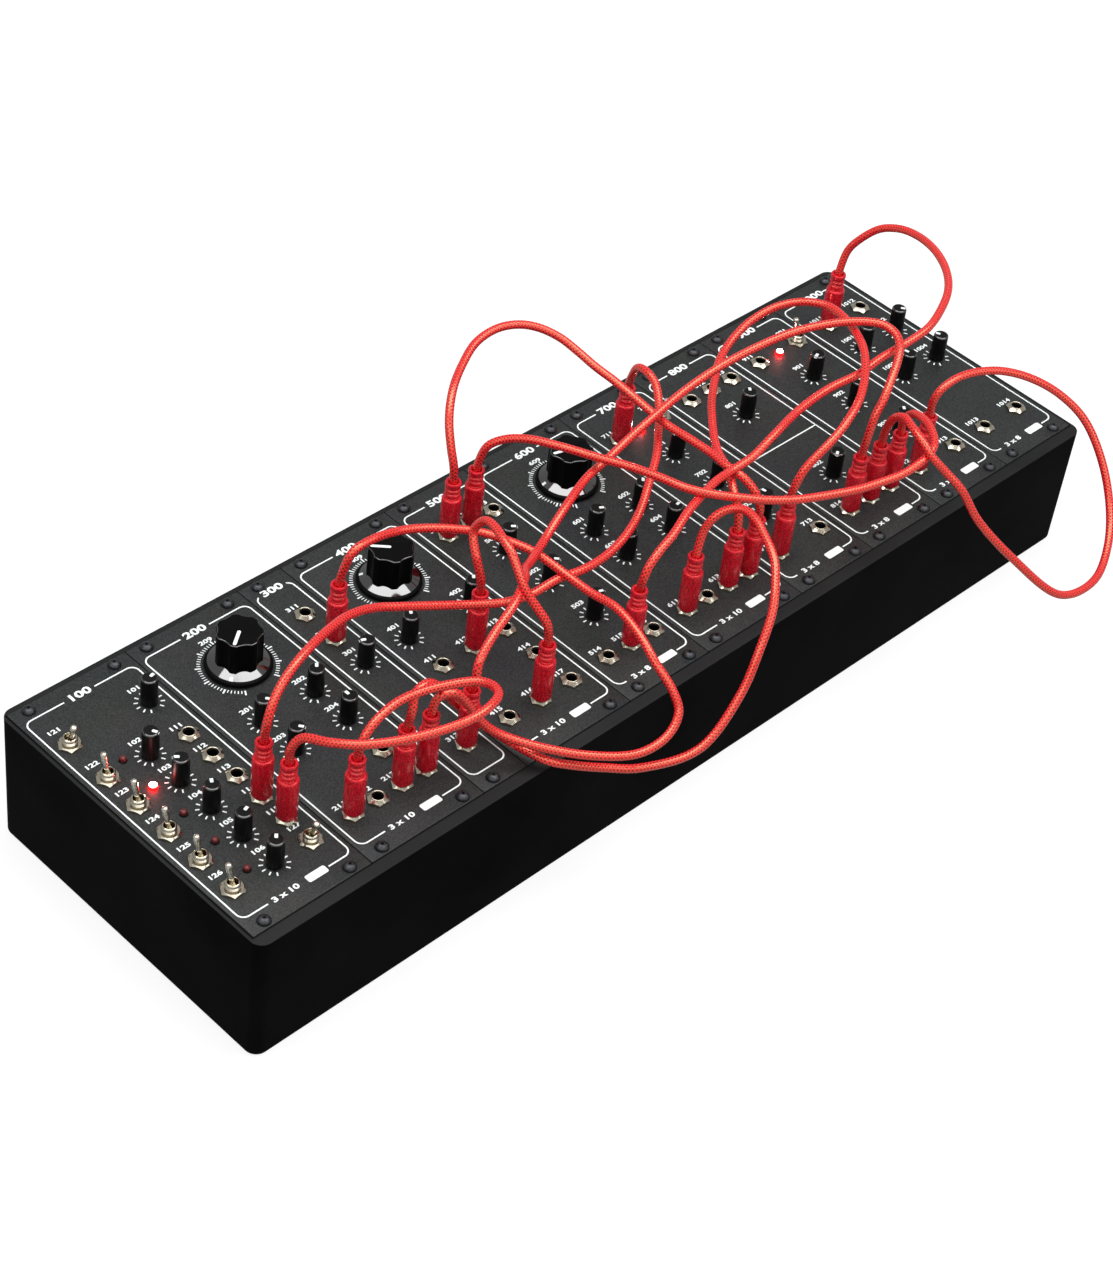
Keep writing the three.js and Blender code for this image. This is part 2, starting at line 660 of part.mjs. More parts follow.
// Circuit boards: a board under each panel with the bodies of its controls, joined by ribbons to the bus
function makeBoards() {
  const pieces = [];
  const cuts = [];
  const bored = (at, width, depth, half, bottom) => {
    pieces.push(pillar(at, width, depth, boardTop - sink, underPanel));
    cuts.push(pillar(at, 2 * half, 2 * half, bottom, underPanel + overrun));
  };
  for (const module of modules) {
    const low = [module.left + boardSideInset, boardEdgeInset, boardBottom];
    const high = [module.left + module.width - boardSideInset, panelDepth - boardEdgeInset, boardTop];
    pieces.push(block(low, high));
    const ribbonAt = [module.left + module.width / 2, panelDepth - ribbonRearInset];
    pieces.push(pillar(ribbonAt, ribbonWidth, ribbonThickness, busTop - sink, boardBottom + sink));
    for (const { at } of module.knobs) {
      bored(at, potWidth, potDepth, shaftRadius + fitGap, -shaftDepth - fitGap);
    }
    for (const { at } of module.largeKnobs) {
      bored(at, largePotSize, largePotSize, largeShaftRadius + fitGap, -shaftDepth - fitGap);
    }
    for (const { at } of Object.values(module.jacks)) {
      bored(at, jackBodyWidth, jackBodyDepth, jackBoreRadius, boardTop + socketFloor);
    }
    for (const { at } of module.toggles) {
      pieces.push(pillar(at, switchWidth, switchDepth, boardTop - sink, -bushDepth - fitGap));
    }
    for (const { at } of module.lamps) {
      const dome = lampHeight - lampRadius;
      const profile = [[0, boardTop - sink], [lampRadius, boardTop - sink], [lampRadius, dome]];
      profile.push([lampRadius * Math.SQRT1_2, dome + lampRadius * Math.SQRT1_2], [0, lampHeight]);
      pieces.push(turned(profile, coarseSides, at));
    }
  }
  const busRight = rowLength - busSideInset;
  pieces.push(block([busSideInset, busRear - busDepth, busBottom], [busRight, busRear, busTop]));
  for (const share of postShares) {
    const at = [busSideInset + share * (busRight - busSideInset), busRear - busDepth / 2];
    pieces.push(rod(postRadius, caseFloor + fitGap, busBottom + sink, coarseSides, at));
  }
  const inletFace = caseRear - rearWall - fitGap;
  const inletLow = [inletX - inletWidth / 2, busRear - inletWidth, busTop - sink];
  pieces.push(block(inletLow, [inletX + inletWidth / 2, inletFace, busTop + inletHeight]));
  const barrelLength = rearWall + fitGap + sink;
  const barrel = new THREE.CylinderGeometry(inletBarrelRadius, inletBarrelRadius, barrelLength, roundSides);
  pieces.push(solid(barrel, inletX, inletFace - sink + barrelLength / 2, inletZ));
  place("circuit_boards", cut(join(pieces), cuts), boardGreen);
}

// Small knob and its shaft, turned about its own axis
const smallKnob = turned(
  [
    [0, -shaftDepth],
    [shaftRadius, -shaftDepth],
    [shaftRadius, knobLift],
    [knobRadius, knobLift],
    [knobTopRadius, knobHeight - knobChamferDrop],
    [knobChamferRadius, knobHeight],
    [0, knobHeight],
  ],
  roundSides,
);

// Large knob: a conical skirt, a fluted grip with one ridge in line with the pointer, and the shaft
function largeKnob() {
  const skirt = turned(
    [
      [0, -shaftDepth],
      [largeShaftRadius, -shaftDepth],
      [largeShaftRadius, skirtLift],
      [skirtRadius, skirtLift],
      [skirtRadius, skirtLift + skirtEdge],
      [gripRadius, skirtHeight],
      [0, skirtHeight],
    ],
    fineSides,
  );
  const outline = [];
  const ridge = (2 * Math.PI) / gripRidges;
  for (let i = 0; i < gripRidges; i++) {
    const middle = Math.PI / 2 + i * ridge;
    for (const [share, radius] of [
      [-gripRidgeShare / 2, gripRadius],
      [gripRidgeShare / 2, gripRadius],
      [0.5, gripValleyRadius],
    ]) {
      const angle = middle + share * ridge;
      outline.push(new THREE.Vector2(radius * Math.cos(angle), radius * Math.sin(angle)));
    }
  }
  return skirt.add(upright(new THREE.Shape(outline), skirtHeight - sink, gripHeight));
}

// Toggle lever, upright, with its ball at the pivot
const lever = turned(
  [
    [0, -leverTail],
    [leverTailRadius, -leverTail],
    [leverTailRadius, -leverBallRadius],
    [leverBallRadius, 0],
    [leverNeckRadius, leverBallRadius],
    [leverTipRadius, leverLength - leverTipRadius],
    [leverTipRadius * Math.SQRT1_2, leverLength - leverTipRadius * (1 - Math.SQRT1_2)],
    [0, leverLength],
  ],
  coarseSides,
);

// A moulded plug standing in a jack, its tip in the socket
function plug(at) {
  const profile = [
    [0, plugBase - plugTipLength],
    [plugTipRadius, plugBase - plugTipLength],
    [plugTipRadius, plugBase],
    [plugBodyRadius, plugBase],
    [plugBodyRadius, plugBodyTop],
    [bootRadius, plugBodyTop],
    [bootTopRadius, bootTop],
    [0, bootTop],
  ];
  return turned(profile, roundSides, at);
}

// A cord along its route, from inside one boot to inside the other
function cord([from, to], route) {
  const inside = bootTop - cordRadius;
  const points = [[...from, inside], [...from, bootTop], ...route, [...to, bootTop], [...to, inside]];
  const vectors = points.map((point) => new THREE.Vector3(...point));
  const path = new THREE.CatmullRomCurve3(vectors, false, "centripetal");
  const section = new THREE.Shape();
  for (let i = 0; i < cordSides; i++) {
    const angle = (2 * Math.PI * i) / cordSides;
    const corner = [cordRadius * Math.cos(angle), cordRadius * Math.sin(angle)];
    if (i === 0) section.moveTo(...corner);
    else section.lineTo(...corner);
  }
  const steps = Math.round(path.getLength() / cordStep);
  return solid(new THREE.ExtrudeGeometry(section, { steps, extrudePath: path, bevelEnabled: false }));
}

function makeLeads(side) {
  const pieces = [];
  for (const lead of leads.filter((one) => one.side === side)) {
    const ends = lead.ends.map((end) => {
      const [owner, jack] = end.split(".");
      return modules.find(({ name }) => name === owner).jacks[jack].at;
    });
    pieces.push(plug(ends[0]), plug(ends[1]), cord(ends, lead.route));
  }
  place(`patch_leads_${side}`, join(pieces), leadRed);
}

makeCase();
makeRail("rail_front", screwEdgeInset);
makeRail("rail_rear", panelDepth - screwEdgeInset);
makeBoards();
const grip = largeKnob();
for (const module of modules) {
  makePanel(module);
  for (const { name, at, pointer } of module.knobs) {
    place(`${name}_knob`, smallKnob, knobBlack, ...at).rotation.z = -THREE.MathUtils.degToRad(pointer);
  }
  for (const { name, at, pointer } of module.largeKnobs) {
    place(`${name}_knob`, grip, knobBlack, ...at).rotation.z = -THREE.MathUtils.degToRad(pointer);
  }
  for (const { name, at, lean } of module.toggles) {
    const tilt = THREE.MathUtils.degToRad(lean === "front" ? leverLean : -leverLean);
    place(`${name}_toggle`, lever, leverMetal, ...at, leverPivot).rotation.x = tilt;
  }
}
makeLeads("left");
makeLeads("right");

export default row;
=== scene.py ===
# Looks of a tabletop modular synthesizer: ten panels on rails in a black case, with their knobs,
# toggle switches, sockets and lamps, and eleven patch leads.
import json
import math

import bmesh
import bpy
from mathutils import Matrix, Vector
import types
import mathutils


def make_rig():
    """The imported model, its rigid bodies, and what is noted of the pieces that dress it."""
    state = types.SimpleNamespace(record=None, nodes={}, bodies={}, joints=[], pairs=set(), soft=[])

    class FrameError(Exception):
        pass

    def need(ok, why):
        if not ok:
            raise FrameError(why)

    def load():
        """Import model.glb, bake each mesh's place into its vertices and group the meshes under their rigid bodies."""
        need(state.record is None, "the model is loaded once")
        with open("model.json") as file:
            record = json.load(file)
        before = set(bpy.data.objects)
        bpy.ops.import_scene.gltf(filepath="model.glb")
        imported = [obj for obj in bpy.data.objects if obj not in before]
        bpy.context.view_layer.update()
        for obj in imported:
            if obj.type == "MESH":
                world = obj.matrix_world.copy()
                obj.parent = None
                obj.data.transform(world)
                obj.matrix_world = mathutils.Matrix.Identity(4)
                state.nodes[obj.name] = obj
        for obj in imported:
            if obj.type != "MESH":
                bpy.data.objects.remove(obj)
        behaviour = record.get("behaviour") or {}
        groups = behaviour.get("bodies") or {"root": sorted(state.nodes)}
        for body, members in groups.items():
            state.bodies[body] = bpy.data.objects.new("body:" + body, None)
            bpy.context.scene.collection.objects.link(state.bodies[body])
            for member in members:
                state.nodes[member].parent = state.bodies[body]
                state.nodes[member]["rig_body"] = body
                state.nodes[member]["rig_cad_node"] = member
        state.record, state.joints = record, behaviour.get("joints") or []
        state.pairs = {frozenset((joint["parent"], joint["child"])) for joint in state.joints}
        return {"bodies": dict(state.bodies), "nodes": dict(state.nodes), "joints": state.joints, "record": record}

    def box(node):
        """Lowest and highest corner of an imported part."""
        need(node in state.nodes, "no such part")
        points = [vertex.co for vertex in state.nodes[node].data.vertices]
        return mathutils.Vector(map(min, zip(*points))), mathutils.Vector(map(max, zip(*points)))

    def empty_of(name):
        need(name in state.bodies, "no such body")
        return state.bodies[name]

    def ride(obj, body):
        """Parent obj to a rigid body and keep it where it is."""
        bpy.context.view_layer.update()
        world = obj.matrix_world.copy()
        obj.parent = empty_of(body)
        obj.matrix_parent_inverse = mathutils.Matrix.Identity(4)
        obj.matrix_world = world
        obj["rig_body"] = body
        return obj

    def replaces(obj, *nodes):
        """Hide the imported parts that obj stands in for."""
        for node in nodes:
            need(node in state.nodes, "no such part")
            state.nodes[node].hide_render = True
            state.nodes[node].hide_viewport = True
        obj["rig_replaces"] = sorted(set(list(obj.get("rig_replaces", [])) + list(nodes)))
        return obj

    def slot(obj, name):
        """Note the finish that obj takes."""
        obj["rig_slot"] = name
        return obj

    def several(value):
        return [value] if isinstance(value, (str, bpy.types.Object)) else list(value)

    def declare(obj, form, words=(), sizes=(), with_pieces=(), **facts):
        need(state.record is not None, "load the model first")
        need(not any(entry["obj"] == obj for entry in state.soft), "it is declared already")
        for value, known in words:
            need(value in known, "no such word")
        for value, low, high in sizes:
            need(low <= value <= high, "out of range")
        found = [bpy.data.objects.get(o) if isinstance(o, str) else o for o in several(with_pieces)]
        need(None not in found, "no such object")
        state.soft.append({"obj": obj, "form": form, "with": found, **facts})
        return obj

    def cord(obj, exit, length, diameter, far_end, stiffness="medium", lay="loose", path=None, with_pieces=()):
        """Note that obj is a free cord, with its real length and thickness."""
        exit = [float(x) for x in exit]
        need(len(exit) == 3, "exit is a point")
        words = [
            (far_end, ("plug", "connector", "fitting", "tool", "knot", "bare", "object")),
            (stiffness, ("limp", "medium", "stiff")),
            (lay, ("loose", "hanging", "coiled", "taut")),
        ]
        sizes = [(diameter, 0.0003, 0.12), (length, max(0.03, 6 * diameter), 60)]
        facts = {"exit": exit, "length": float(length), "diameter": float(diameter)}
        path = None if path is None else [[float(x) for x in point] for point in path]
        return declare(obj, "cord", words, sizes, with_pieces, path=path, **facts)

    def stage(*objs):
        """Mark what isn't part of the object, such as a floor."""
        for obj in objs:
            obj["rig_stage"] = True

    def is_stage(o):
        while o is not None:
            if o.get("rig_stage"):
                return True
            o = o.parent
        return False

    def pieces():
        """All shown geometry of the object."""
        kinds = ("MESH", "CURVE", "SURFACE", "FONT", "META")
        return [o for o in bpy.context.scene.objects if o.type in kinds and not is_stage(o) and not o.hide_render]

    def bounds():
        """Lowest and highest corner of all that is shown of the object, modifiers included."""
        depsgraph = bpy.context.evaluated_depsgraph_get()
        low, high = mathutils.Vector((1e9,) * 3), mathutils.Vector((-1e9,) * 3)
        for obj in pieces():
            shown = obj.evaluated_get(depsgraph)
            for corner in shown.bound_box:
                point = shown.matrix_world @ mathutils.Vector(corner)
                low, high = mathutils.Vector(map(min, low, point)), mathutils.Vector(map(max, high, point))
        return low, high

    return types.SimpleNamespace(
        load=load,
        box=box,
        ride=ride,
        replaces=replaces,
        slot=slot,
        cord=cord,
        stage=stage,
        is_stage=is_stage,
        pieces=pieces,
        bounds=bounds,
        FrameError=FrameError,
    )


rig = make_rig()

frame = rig.load()
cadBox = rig.bounds()
mm = 0.001  # sizes in the dictionaries are millimetres
up = Vector((0, 0, 1))

# The camera stands at the photograph's viewing angle.
camera = {"place": (-0.62801, -0.5169, 0.75641), "turn": (47.3236, -5.8873, -44.6871), "lens": 81.77}
bpy.ops.object.camera_add(location=camera["place"], rotation=[math.radians(a) for a in camera["turn"]])
bpy.context.object.data.lens = camera["lens"]
bpy.context.scene.camera = bpy.context.object
bpy.context.scene.view_settings.view_transform = "Standard"

# The row of panels starts at its front left corner, and heights are from the panels' top.
case = {
    "sideLip": 1.6, "frontLip": 5.25, "panelProud": 0.4, "sideWall": 1.3, "frontWall": 2, "rearWall": 2.1,
    "floor": 2, "ledge": 1.6, "fit": 0.3, "corner": 4.75, "bottomEdge": 1, "rimEdge": 0.15,
    "overlap": 0.2, "overrun": 1, "sheenSlope": 0.3,
}
caseLow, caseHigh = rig.box("case_tub")
rowCorner = Vector((
    caseLow.x + case["sideLip"] * mm,
    caseLow.y + case["frontLip"] * mm,
    caseHigh.z + case["panelProud"] * mm,
))

panel = {"unit": 5.08, "depth": 128.5, "thickness": 2, "gap": 0.3, "edge": 0.25, "corner": 0.4}
low, top = 0.156, 0.807  # rows of sockets, as shares of the panel's depth
steps = [0.651, 0.527, 0.403, 0.278, 0.153]
modules = [
    {
        "name": "sequencer", "units": 10,
        "knobs": ["rate", "step_1", "step_2", "step_3", "step_4", "step_5"],
        "toggles": ["step_count", "gate_1", "gate_2", "gate_3", "gate_4", "gate_5", "cv_range"],
        "jacks": [(0.821, 0.644), (0.821, 0.546), (0.821, 0.448), (0.821, 0.35), (0.821, 0.252)],
        "lamps": [(0.337, y + 0.028) for y in steps], "lit": [1],
    },
    {
        "name": "oscillator", "units": 10, "large": ["coarse"],
        "knobs": ["fine", "pulse_width", "fm_level", "pulse_mod"],
        "jacks": [(0.187, low), (0.404, low), (0.62, low), (0.837, low), (0.732, 0.28)],
    },
    {
        "name": "wavefolder", "units": 4, "knobs": ["fold"],
        "jacks": [(0.515, top), (0.515, 0.681), (0.515, low)],
    },
    {
        "name": "sample_hold", "units": 10, "large": ["sample_rate"], "knobs": ["sample_level", "slew"],
        "jacks": [
            (0.214, 0.418), (0.513, 0.418), (0.813, 0.418), (0.813, 0.291),
            (0.214, low), (0.513, low), (0.813, low),
        ],
    },
    {
        "name": "mixer", "units": 8, "knobs": ["mix_1", "mix_2", "mix_3"],
        "jacks": [(0.227, top), (0.514, top), (0.802, top), (0.227, low), (0.514, low), (0.802, low)],
    },
    {
        "name": "filter", "units": 10, "large": ["cutoff"],
        "knobs": ["filter_input", "resonance", "filter_fm", "filter_cv"],
        "jacks": [(0.187, low), (0.404, low), (0.62, low), (0.837, low)],
    },
    {
        "name": "envelope_1", "units": 8, "knobs": ["attack_1", "decay_1", "sustain_1"],
        "toggles": ["loop_1"], "jacks": [(0.227, top), (0.227, low), (0.802, low)],
        "lamps": [(0.52, top)], "lit": [0],
    },
    {
        "name": "amplifier", "units": 8, "knobs": ["offset_1", "offset_2"],
        "jacks": [(0.227, top), (0.514, top), (0.802, top), (0.227, low), (0.514, low), (0.802, low)],
        "divider": 0.494,
    },
    {
        "name": "envelope_2", "units": 8, "knobs": ["attack_2", "decay_2", "sustain_2"],
        "toggles": ["loop_2"], "jacks": [(0.227, top), (0.227, low), (0.802, low)],
        "lamps": [(0.52, top)], "lit": [0],
    },
    {
        "name": "output", "units": 8, "knobs": ["level_left", "level_right", "pan_left", "pan_right"],
        "jacks": [(0.26, top), (0.756, top), (0.26, low), (0.756, low)],
    },
]
rowLength = 0
for module in modules:
    for kind in ("toggles", "large", "lamps", "lit"):
        module.setdefault(kind, [])
    module["left"] = rowLength
    module["width"] = module["units"] * panel["unit"]
    rowLength += module["width"]


def rowPoint(x, y, z=0.0):
    return rowCorner + Vector((x, y, z)) * mm


def sharePoint(module, share, z=0.0):
    return rowPoint(module["left"] + share[0] * module["width"], share[1] * panel["depth"], z)


def linear(code):
    # sRGB hex to the linear colour that a socket takes
    parts = [int(code[i:i + 2], 16) / 255 for i in (1, 3, 5)]
    return tuple(c / 12.92 if c <= 0.04045 else ((c + 0.055) / 1.055) ** 2.4 for c in parts) + (1.0,)


def connect(material, node, links):
    # a link comes from a socket, or from a node's first output
    for key, source in links.items():
        socket = source.outputs[0] if hasattr(source, "outputs") else source
        material.node_tree.links.new(socket, node.inputs[key])


def addNode(material, kind, settings, links={}):
    # adds a node, sets its inputs or options, and links into it
    node = material.node_tree.nodes.new("ShaderNode" + kind)
    for key, value in settings.items():
        value = linear(value) if isinstance(value, str) and value.startswith("#") else value
        if key == "stops":
            ramp = node.color_ramp.elements
            for place, colour in value[2:]:
                ramp.new(place)
            for element, (place, colour) in zip(ramp, value):
                element.position = place
                element.color = linear(colour)
        elif isinstance(key, int) or key in node.inputs:
            node.inputs[key].default_value = value
        else:
            setattr(node, key, value)
    connect(material, node, links)
    return node


def newMaterial(name, sockets):
    material = bpy.data.materials.new(name)
    material.use_nodes = True
    shader = material.node_tree.nodes["Principled BSDF"]
    for key, value in sockets.items():
        shader.inputs[key].default_value = linear(value) if isinstance(value, str) else value
    return material, shader, addNode(material, "TexCoord", {}).outputs["Object"]


def spreadGrain(finish, scale, detail, stops=None, rough=None, bump=None):
    # one noise, its scale in grains per metre, varies the colour, the shine and the relief together
    material, shader, place = finish
    grain = addNode(material, "TexNoise", {"Scale": scale, "Detail": detail}, {"Vector": place})
    links = {}
    if stops:
        links["Base Color"] = addNode(material, "ValToRGB", {"stops": stops}, {0: grain})
    if rough:
        span = {"To Min": rough[0], "To Max": rough[1]}
        links["Roughness"] = addNode(material, "MapRange", span, {"Value": grain})
    if bump:
        strength, height = bump
        relief = {"Strength": strength, "Distance": height * mm}
        links["Normal"] = addNode(material, "Bump", relief, {"Height": grain})
    connect(material, shader, links)
    return material


# Polyester powder coat on folded steel, cured matt: nearly black, with a fine orange-peel grain
# 0.5 mm across and almost no shine on the walls. The walls take a darker, duller copy of it, painted shade,
# and the upward faces a lighter, shinier copy, painted sheen.
def makePowderCoat(name, dark, light, shine):
    material, shader, place = newMaterial(name, {"IOR": 1.5, "Specular IOR Level": shine})
    grain = addNode(material, "TexNoise", {"Scale": 2000.0, "Detail": 4.0, "Roughness": 0.6}, {
        "Vector": place,
    })
    cloud = addNode(material, "TexNoise", {"Scale": 25.0, "Detail": 2.0}, {"Vector": place})
    both = addNode(material, "Math", {"operation": "MULTIPLY"}, {0: grain, 1: cloud})
    connect(material, shader, {
        "Base Color": addNode(material, "ValToRGB", {"stops": [(0.1, dark), (0.5, light)]}, {0: both}),
        "Roughness": addNode(material, "MapRange", {"To Min": 0.55, "To Max": 0.75}, {"Value": grain}),
        "Normal": addNode(material, "Bump", {"Strength": 0.25, "Distance": 0.06 * mm}, {"Height": grain}),
    })
    return material


# Aluminium sheet under a matt charcoal paint: a soft wide shine and a fine speckle of pigment,
# drawn 0.4 mm across so that it shows.
def makePanelPaint():
    material, shader, place = newMaterial("mattCharcoalPanelPaint", {
        "IOR": 1.5, "Specular IOR Level": 0.36,
    })
    speck = addNode(material, "TexNoise", {"Scale": 2500.0, "Detail": 2.0, "Roughness": 0.7}, {
        "Vector": place,
    })
    cloud = addNode(material, "TexNoise", {"Scale": 40.0, "Detail": 3.0}, {"Vector": place})
    base = addNode(material, "ValToRGB", {"stops": [(0.38, "#060707"), (0.62, "#353737")]}, {0: speck})
    tint = addNode(material, "Mix", {"data_type": "RGBA", "blend_type": "MULTIPLY", 0: 0.35}, {
        6: base, 7: cloud.outputs["Color"],
    })
    connect(material, shader, {
        "Base Color": tint.outputs[2],
        "Roughness": addNode(material, "MapRange", {"To Min": 0.46, "To Max": 0.6}, {"Value": cloud}),
        "Normal": addNode(material, "Bump", {"Strength": 0.18, "Distance": 0.03 * mm}, {"Height": speck}),
    })
    return material


# White screen-printing ink: flat and slightly uneven, with a mesh mark 0.3 mm apart.
def makeInk():
    finish = newMaterial("whiteScreenInk", {"Roughness": 0.5, "IOR": 1.48})
    return spreadGrain(finish, 3300.0, 1.0, [(0.25, "#e0e7e6"), (0.6, "#f4fbfa")])


# Moulded ABS from a spark-eroded tool: dull black with a sand-like grain, drawn 0.25 mm across.
def makeKnobPlastic(name, dark, light, shine):
    finish = newMaterial(name, {"IOR": 1.53, "Specular IOR Level": shine})
    return spreadGrain(finish, 4000.0, 2.0, [(0.3, dark), (0.7, light)], (0.36, 0.5), (0.12, 0.02))


# Phenolic buffed to a gloss: black that mirrors the lamp, with faint turning marks in its shine.
def makeSkirtGloss():
    finish = newMaterial("buffedPhenolicBlack", {
        "Base Color": "#060606", "IOR": 1.7, "Specular IOR Level": 1.0,
    })
    return spreadGrain(finish, 900.0, 3.0, rough=(0.04, 0.1))


# Nickel plate on turned brass: a bright warm grey metal with fine wear that breaks up its shine.
def makeNickel(name, dark, light):
    finish = newMaterial(name, {"Metallic": 1.0})
    return spreadGrain(finish, 1400.0, 3.0, [(0.3, dark), (0.7, light)], (0.14, 0.24), (0.02, 0.02))


# Steel screws under a dull zinc plate: mid grey, with a soft highlight on the dome.
def makeScrewZinc():
    finish = newMaterial("dullZincPlate", {"Metallic": 1.0})
    return spreadGrain(finish, 1600.0, 2.0, [(0.3, "#36373a"), (0.7, "#4c4d50")], (0.34, 0.5))


# Soft moulded PVC: crimson with a satin skin and a light mottle from the mould, 0.33 mm across.
def makePlugPlastic():
    finish = newMaterial("mouldedPvcCrimson", {
        "IOR": 1.7, "Specular IOR Level": 1.0, "Specular Tint": "#ff8a80",
    })
    return spreadGrain(finish, 3000.0, 2.0, [(0.42, "#900418"), (0.58, "#ff1c34")], (0.2, 0.3), (0.25, 0.03))


# Braided polyester sleeve: red strands that cross aslant, drawn 1.1 mm wide so that they show, and lit
# orange along the top. Their colour holds painted shade: lightest at a strand's middle, darker to its edges
# and dark in the gap at each corner. The sleeve's UV map holds millimetres along the cord and turns round it.
def makeBraid():
    material, shader, place = newMaterial("braidedPolyesterRed", {
        "Roughness": 0.2, "IOR": 1.9, "Specular IOR Level": 1.0, "Specular Tint": "#ffb08a",
    })
    axes = addNode(material, "SeparateXYZ", {}, {0: place.node.outputs["UV"]})
    along = addNode(material, "Math", {"operation": "DIVIDE", 1: braid["pitch"]}, {0: axes.outputs["X"]})
    around = addNode(material, "Math", {"operation": "MULTIPLY", 1: braid["threads"]}, {
        0: axes.outputs["Y"],
    })
    waves, cells = [], []
    for sign in ("ADD", "SUBTRACT"):
        turn = addNode(material, "Math", {"operation": sign}, {0: around, 1: along})
        share = addNode(material, "Math", {"operation": "FRACT"}, {0: turn})
        half = addNode(material, "Math", {"operation": "MULTIPLY", 1: math.pi}, {0: share})
        waves.append(addNode(material, "Math", {"operation": "SINE"}, {0: half}))
        cells.append(addNode(material, "Math", {"operation": "FLOOR"}, {0: turn}))
    total = addNode(material, "Math", {"operation": "ADD"}, {0: cells[0], 1: cells[1]})
    over = addNode(material, "Math", {"operation": "PINGPONG", 1: 1.0}, {0: total})
    height = addNode(material, "Mix", {}, {0: over, 2: waves[0], 3: waves[1]})
    # painted shade: the base colour is lightest at the middle of each strand and dark in the gap at each corner
    # between strands
    gap = addNode(material, "Math", {"operation": "MAXIMUM"}, {0: waves[0], 1: waves[1]})
    stops = [(0.5, "#2a0208"), (0.74, "#cc0c24"), (0.94, "#ff2834")]
    connect(material, shader, {
        "Base Color": addNode(material, "ValToRGB", {"stops": stops}, {0: gap}),
        "Normal": addNode(material, "Bump", {"Strength": 0.4, "Distance": 0.14 * mm}, {"Height": height}),
    })
    return material


# Tinted epoxy lens over a red lamp. Dark ones show their own red, lit ones glow white at the dome.
def makeLens(name, glow):
    material, shader, place = newMaterial(name, {
        "Roughness": 0.2, "IOR": 1.55, "Specular IOR Level": 0.35, "Emission Strength": glow,
    })
    share = addNode(material, "MapRange", {
        "From Min": rowCorner.z, "From Max": rowCorner.z + lamp["height"] * mm,
    }, {"Value": addNode(material, "SeparateXYZ", {}, {0: place}).outputs["Z"]})
    tint = [(0.0, "#1e0203"), (1.0, "#64090c")]
    glowTint = [(0.0, "#ff0000"), (0.55, "#ff0404"), (0.85, "#ffe4de")]
    connect(material, shader, {
        "Base Color": addNode(material, "ValToRGB", {"stops": tint}, {0: share}),
        "Emission Color": addNode(material, "ValToRGB", {"stops": glowTint}, {0: share}),
    })
    return material


# Extruded aluminium: a pale metal with die lines along its length, 0.4 mm apart.
def makeExtrusion():
    material, shader, place = newMaterial("extrudedAluminium", {"Metallic": 1.0, "Roughness": 0.4})
    stretched = addNode(material, "Mapping", {"Scale": (20.0, 2500.0, 2500.0)}, {"Vector": place})
    stops = [(0.3, "#a9abae"), (0.7, "#c9cbce")]
    return spreadGrain((material, shader, stretched), 1.0, 2.0, stops, bump=(0.1, 0.02))


# Glass-fibre boards under green solder mask, with black moulded parts above them and at the rear
# wall, told apart by their place.
board = {"partsAbove": 12.95, "inletBehind": 111.4, "inletUnder": 20}


def makeBoard():
    material, shader, place = newMaterial("solderMaskAndBlackParts", {"Roughness": 0.45, "IOR": 1.55})
    axes = addNode(material, "SeparateXYZ", {}, {0: place})
    above, behind, under = [
        addNode(material, "Math", {"operation": test, 1: limit}, {0: axes.outputs[axis]})
        for test, limit, axis in (
            ("GREATER_THAN", rowCorner.z - board["partsAbove"] * mm, "Z"),
            ("GREATER_THAN", rowCorner.y + board["inletBehind"] * mm, "Y"),
            ("LESS_THAN", rowCorner.z - board["inletUnder"] * mm, "Z"),
        )
    ]
    atInlet = addNode(material, "Math", {"operation": "MULTIPLY"}, {0: behind, 1: under})
    black = addNode(material, "Math", {"operation": "MAXIMUM"}, {0: above, 1: atInlet})
    weave = addNode(material, "TexNoise", {"Scale": 800.0, "Detail": 3.0}, {"Vector": place})
    mask = addNode(material, "ValToRGB", {"stops": [(0.3, "#173b2a"), (0.7, "#225240")]}, {0: weave})
    tint = addNode(material, "Mix", {"data_type": "RGBA", 7: "#0c0c0d"}, {0: black, 6: mask})
    connect(material, shader, {"Base Color": tint.outputs[2]})
    return material


def clearSelection():
    bpy.ops.object.select_all(action="DESELECT")


def activate(piece):
    clearSelection()
    piece.select_set(True)
    bpy.context.view_layer.objects.active = piece


def applyPlace():
    bpy.ops.object.transform_apply(location=True, rotation=True, scale=True)


def block(name, lowPoint, highPoint):
    # a cube between two corners, its place in its mesh
    clearSelection()
    bpy.ops.mesh.primitive_cube_add(size=1, location=(lowPoint + highPoint) / 2)
    piece = bpy.context.object
    piece.name = name
    piece.scale = highPoint - lowPoint
    applyPlace()
    return piece


def cylinder(radius, depth, place=(0, 0, 0), sides=32, rotation=(0, 0, 0)):
    # its radius and depth are millimetres, its place metres
    clearSelection()
    bpy.ops.mesh.primitive_cylinder_add(
        vertices=sides, radius=radius * mm, depth=depth * mm, location=place, rotation=rotation,
    )
    applyPlace()
    return bpy.context.object


def choose(piece, kind, test):
    # in edit mode, selects the corners, edges or faces that pass a test
    bpy.ops.mesh.select_mode(type=kind)
    bpy.ops.mesh.select_all(action="DESELECT")
    shape = bmesh.from_edit_mesh(piece.data)
    for part in {"VERT": shape.verts, "EDGE": shape.edges, "FACE": shape.faces}[kind]:
        if test(part):
            part.select_set(True)
    bmesh.update_edit_mesh(piece.data)


def pick(piece, kind, test):
    activate(piece)
    bpy.ops.object.mode_set(mode="EDIT")
    choose(piece, kind, test)


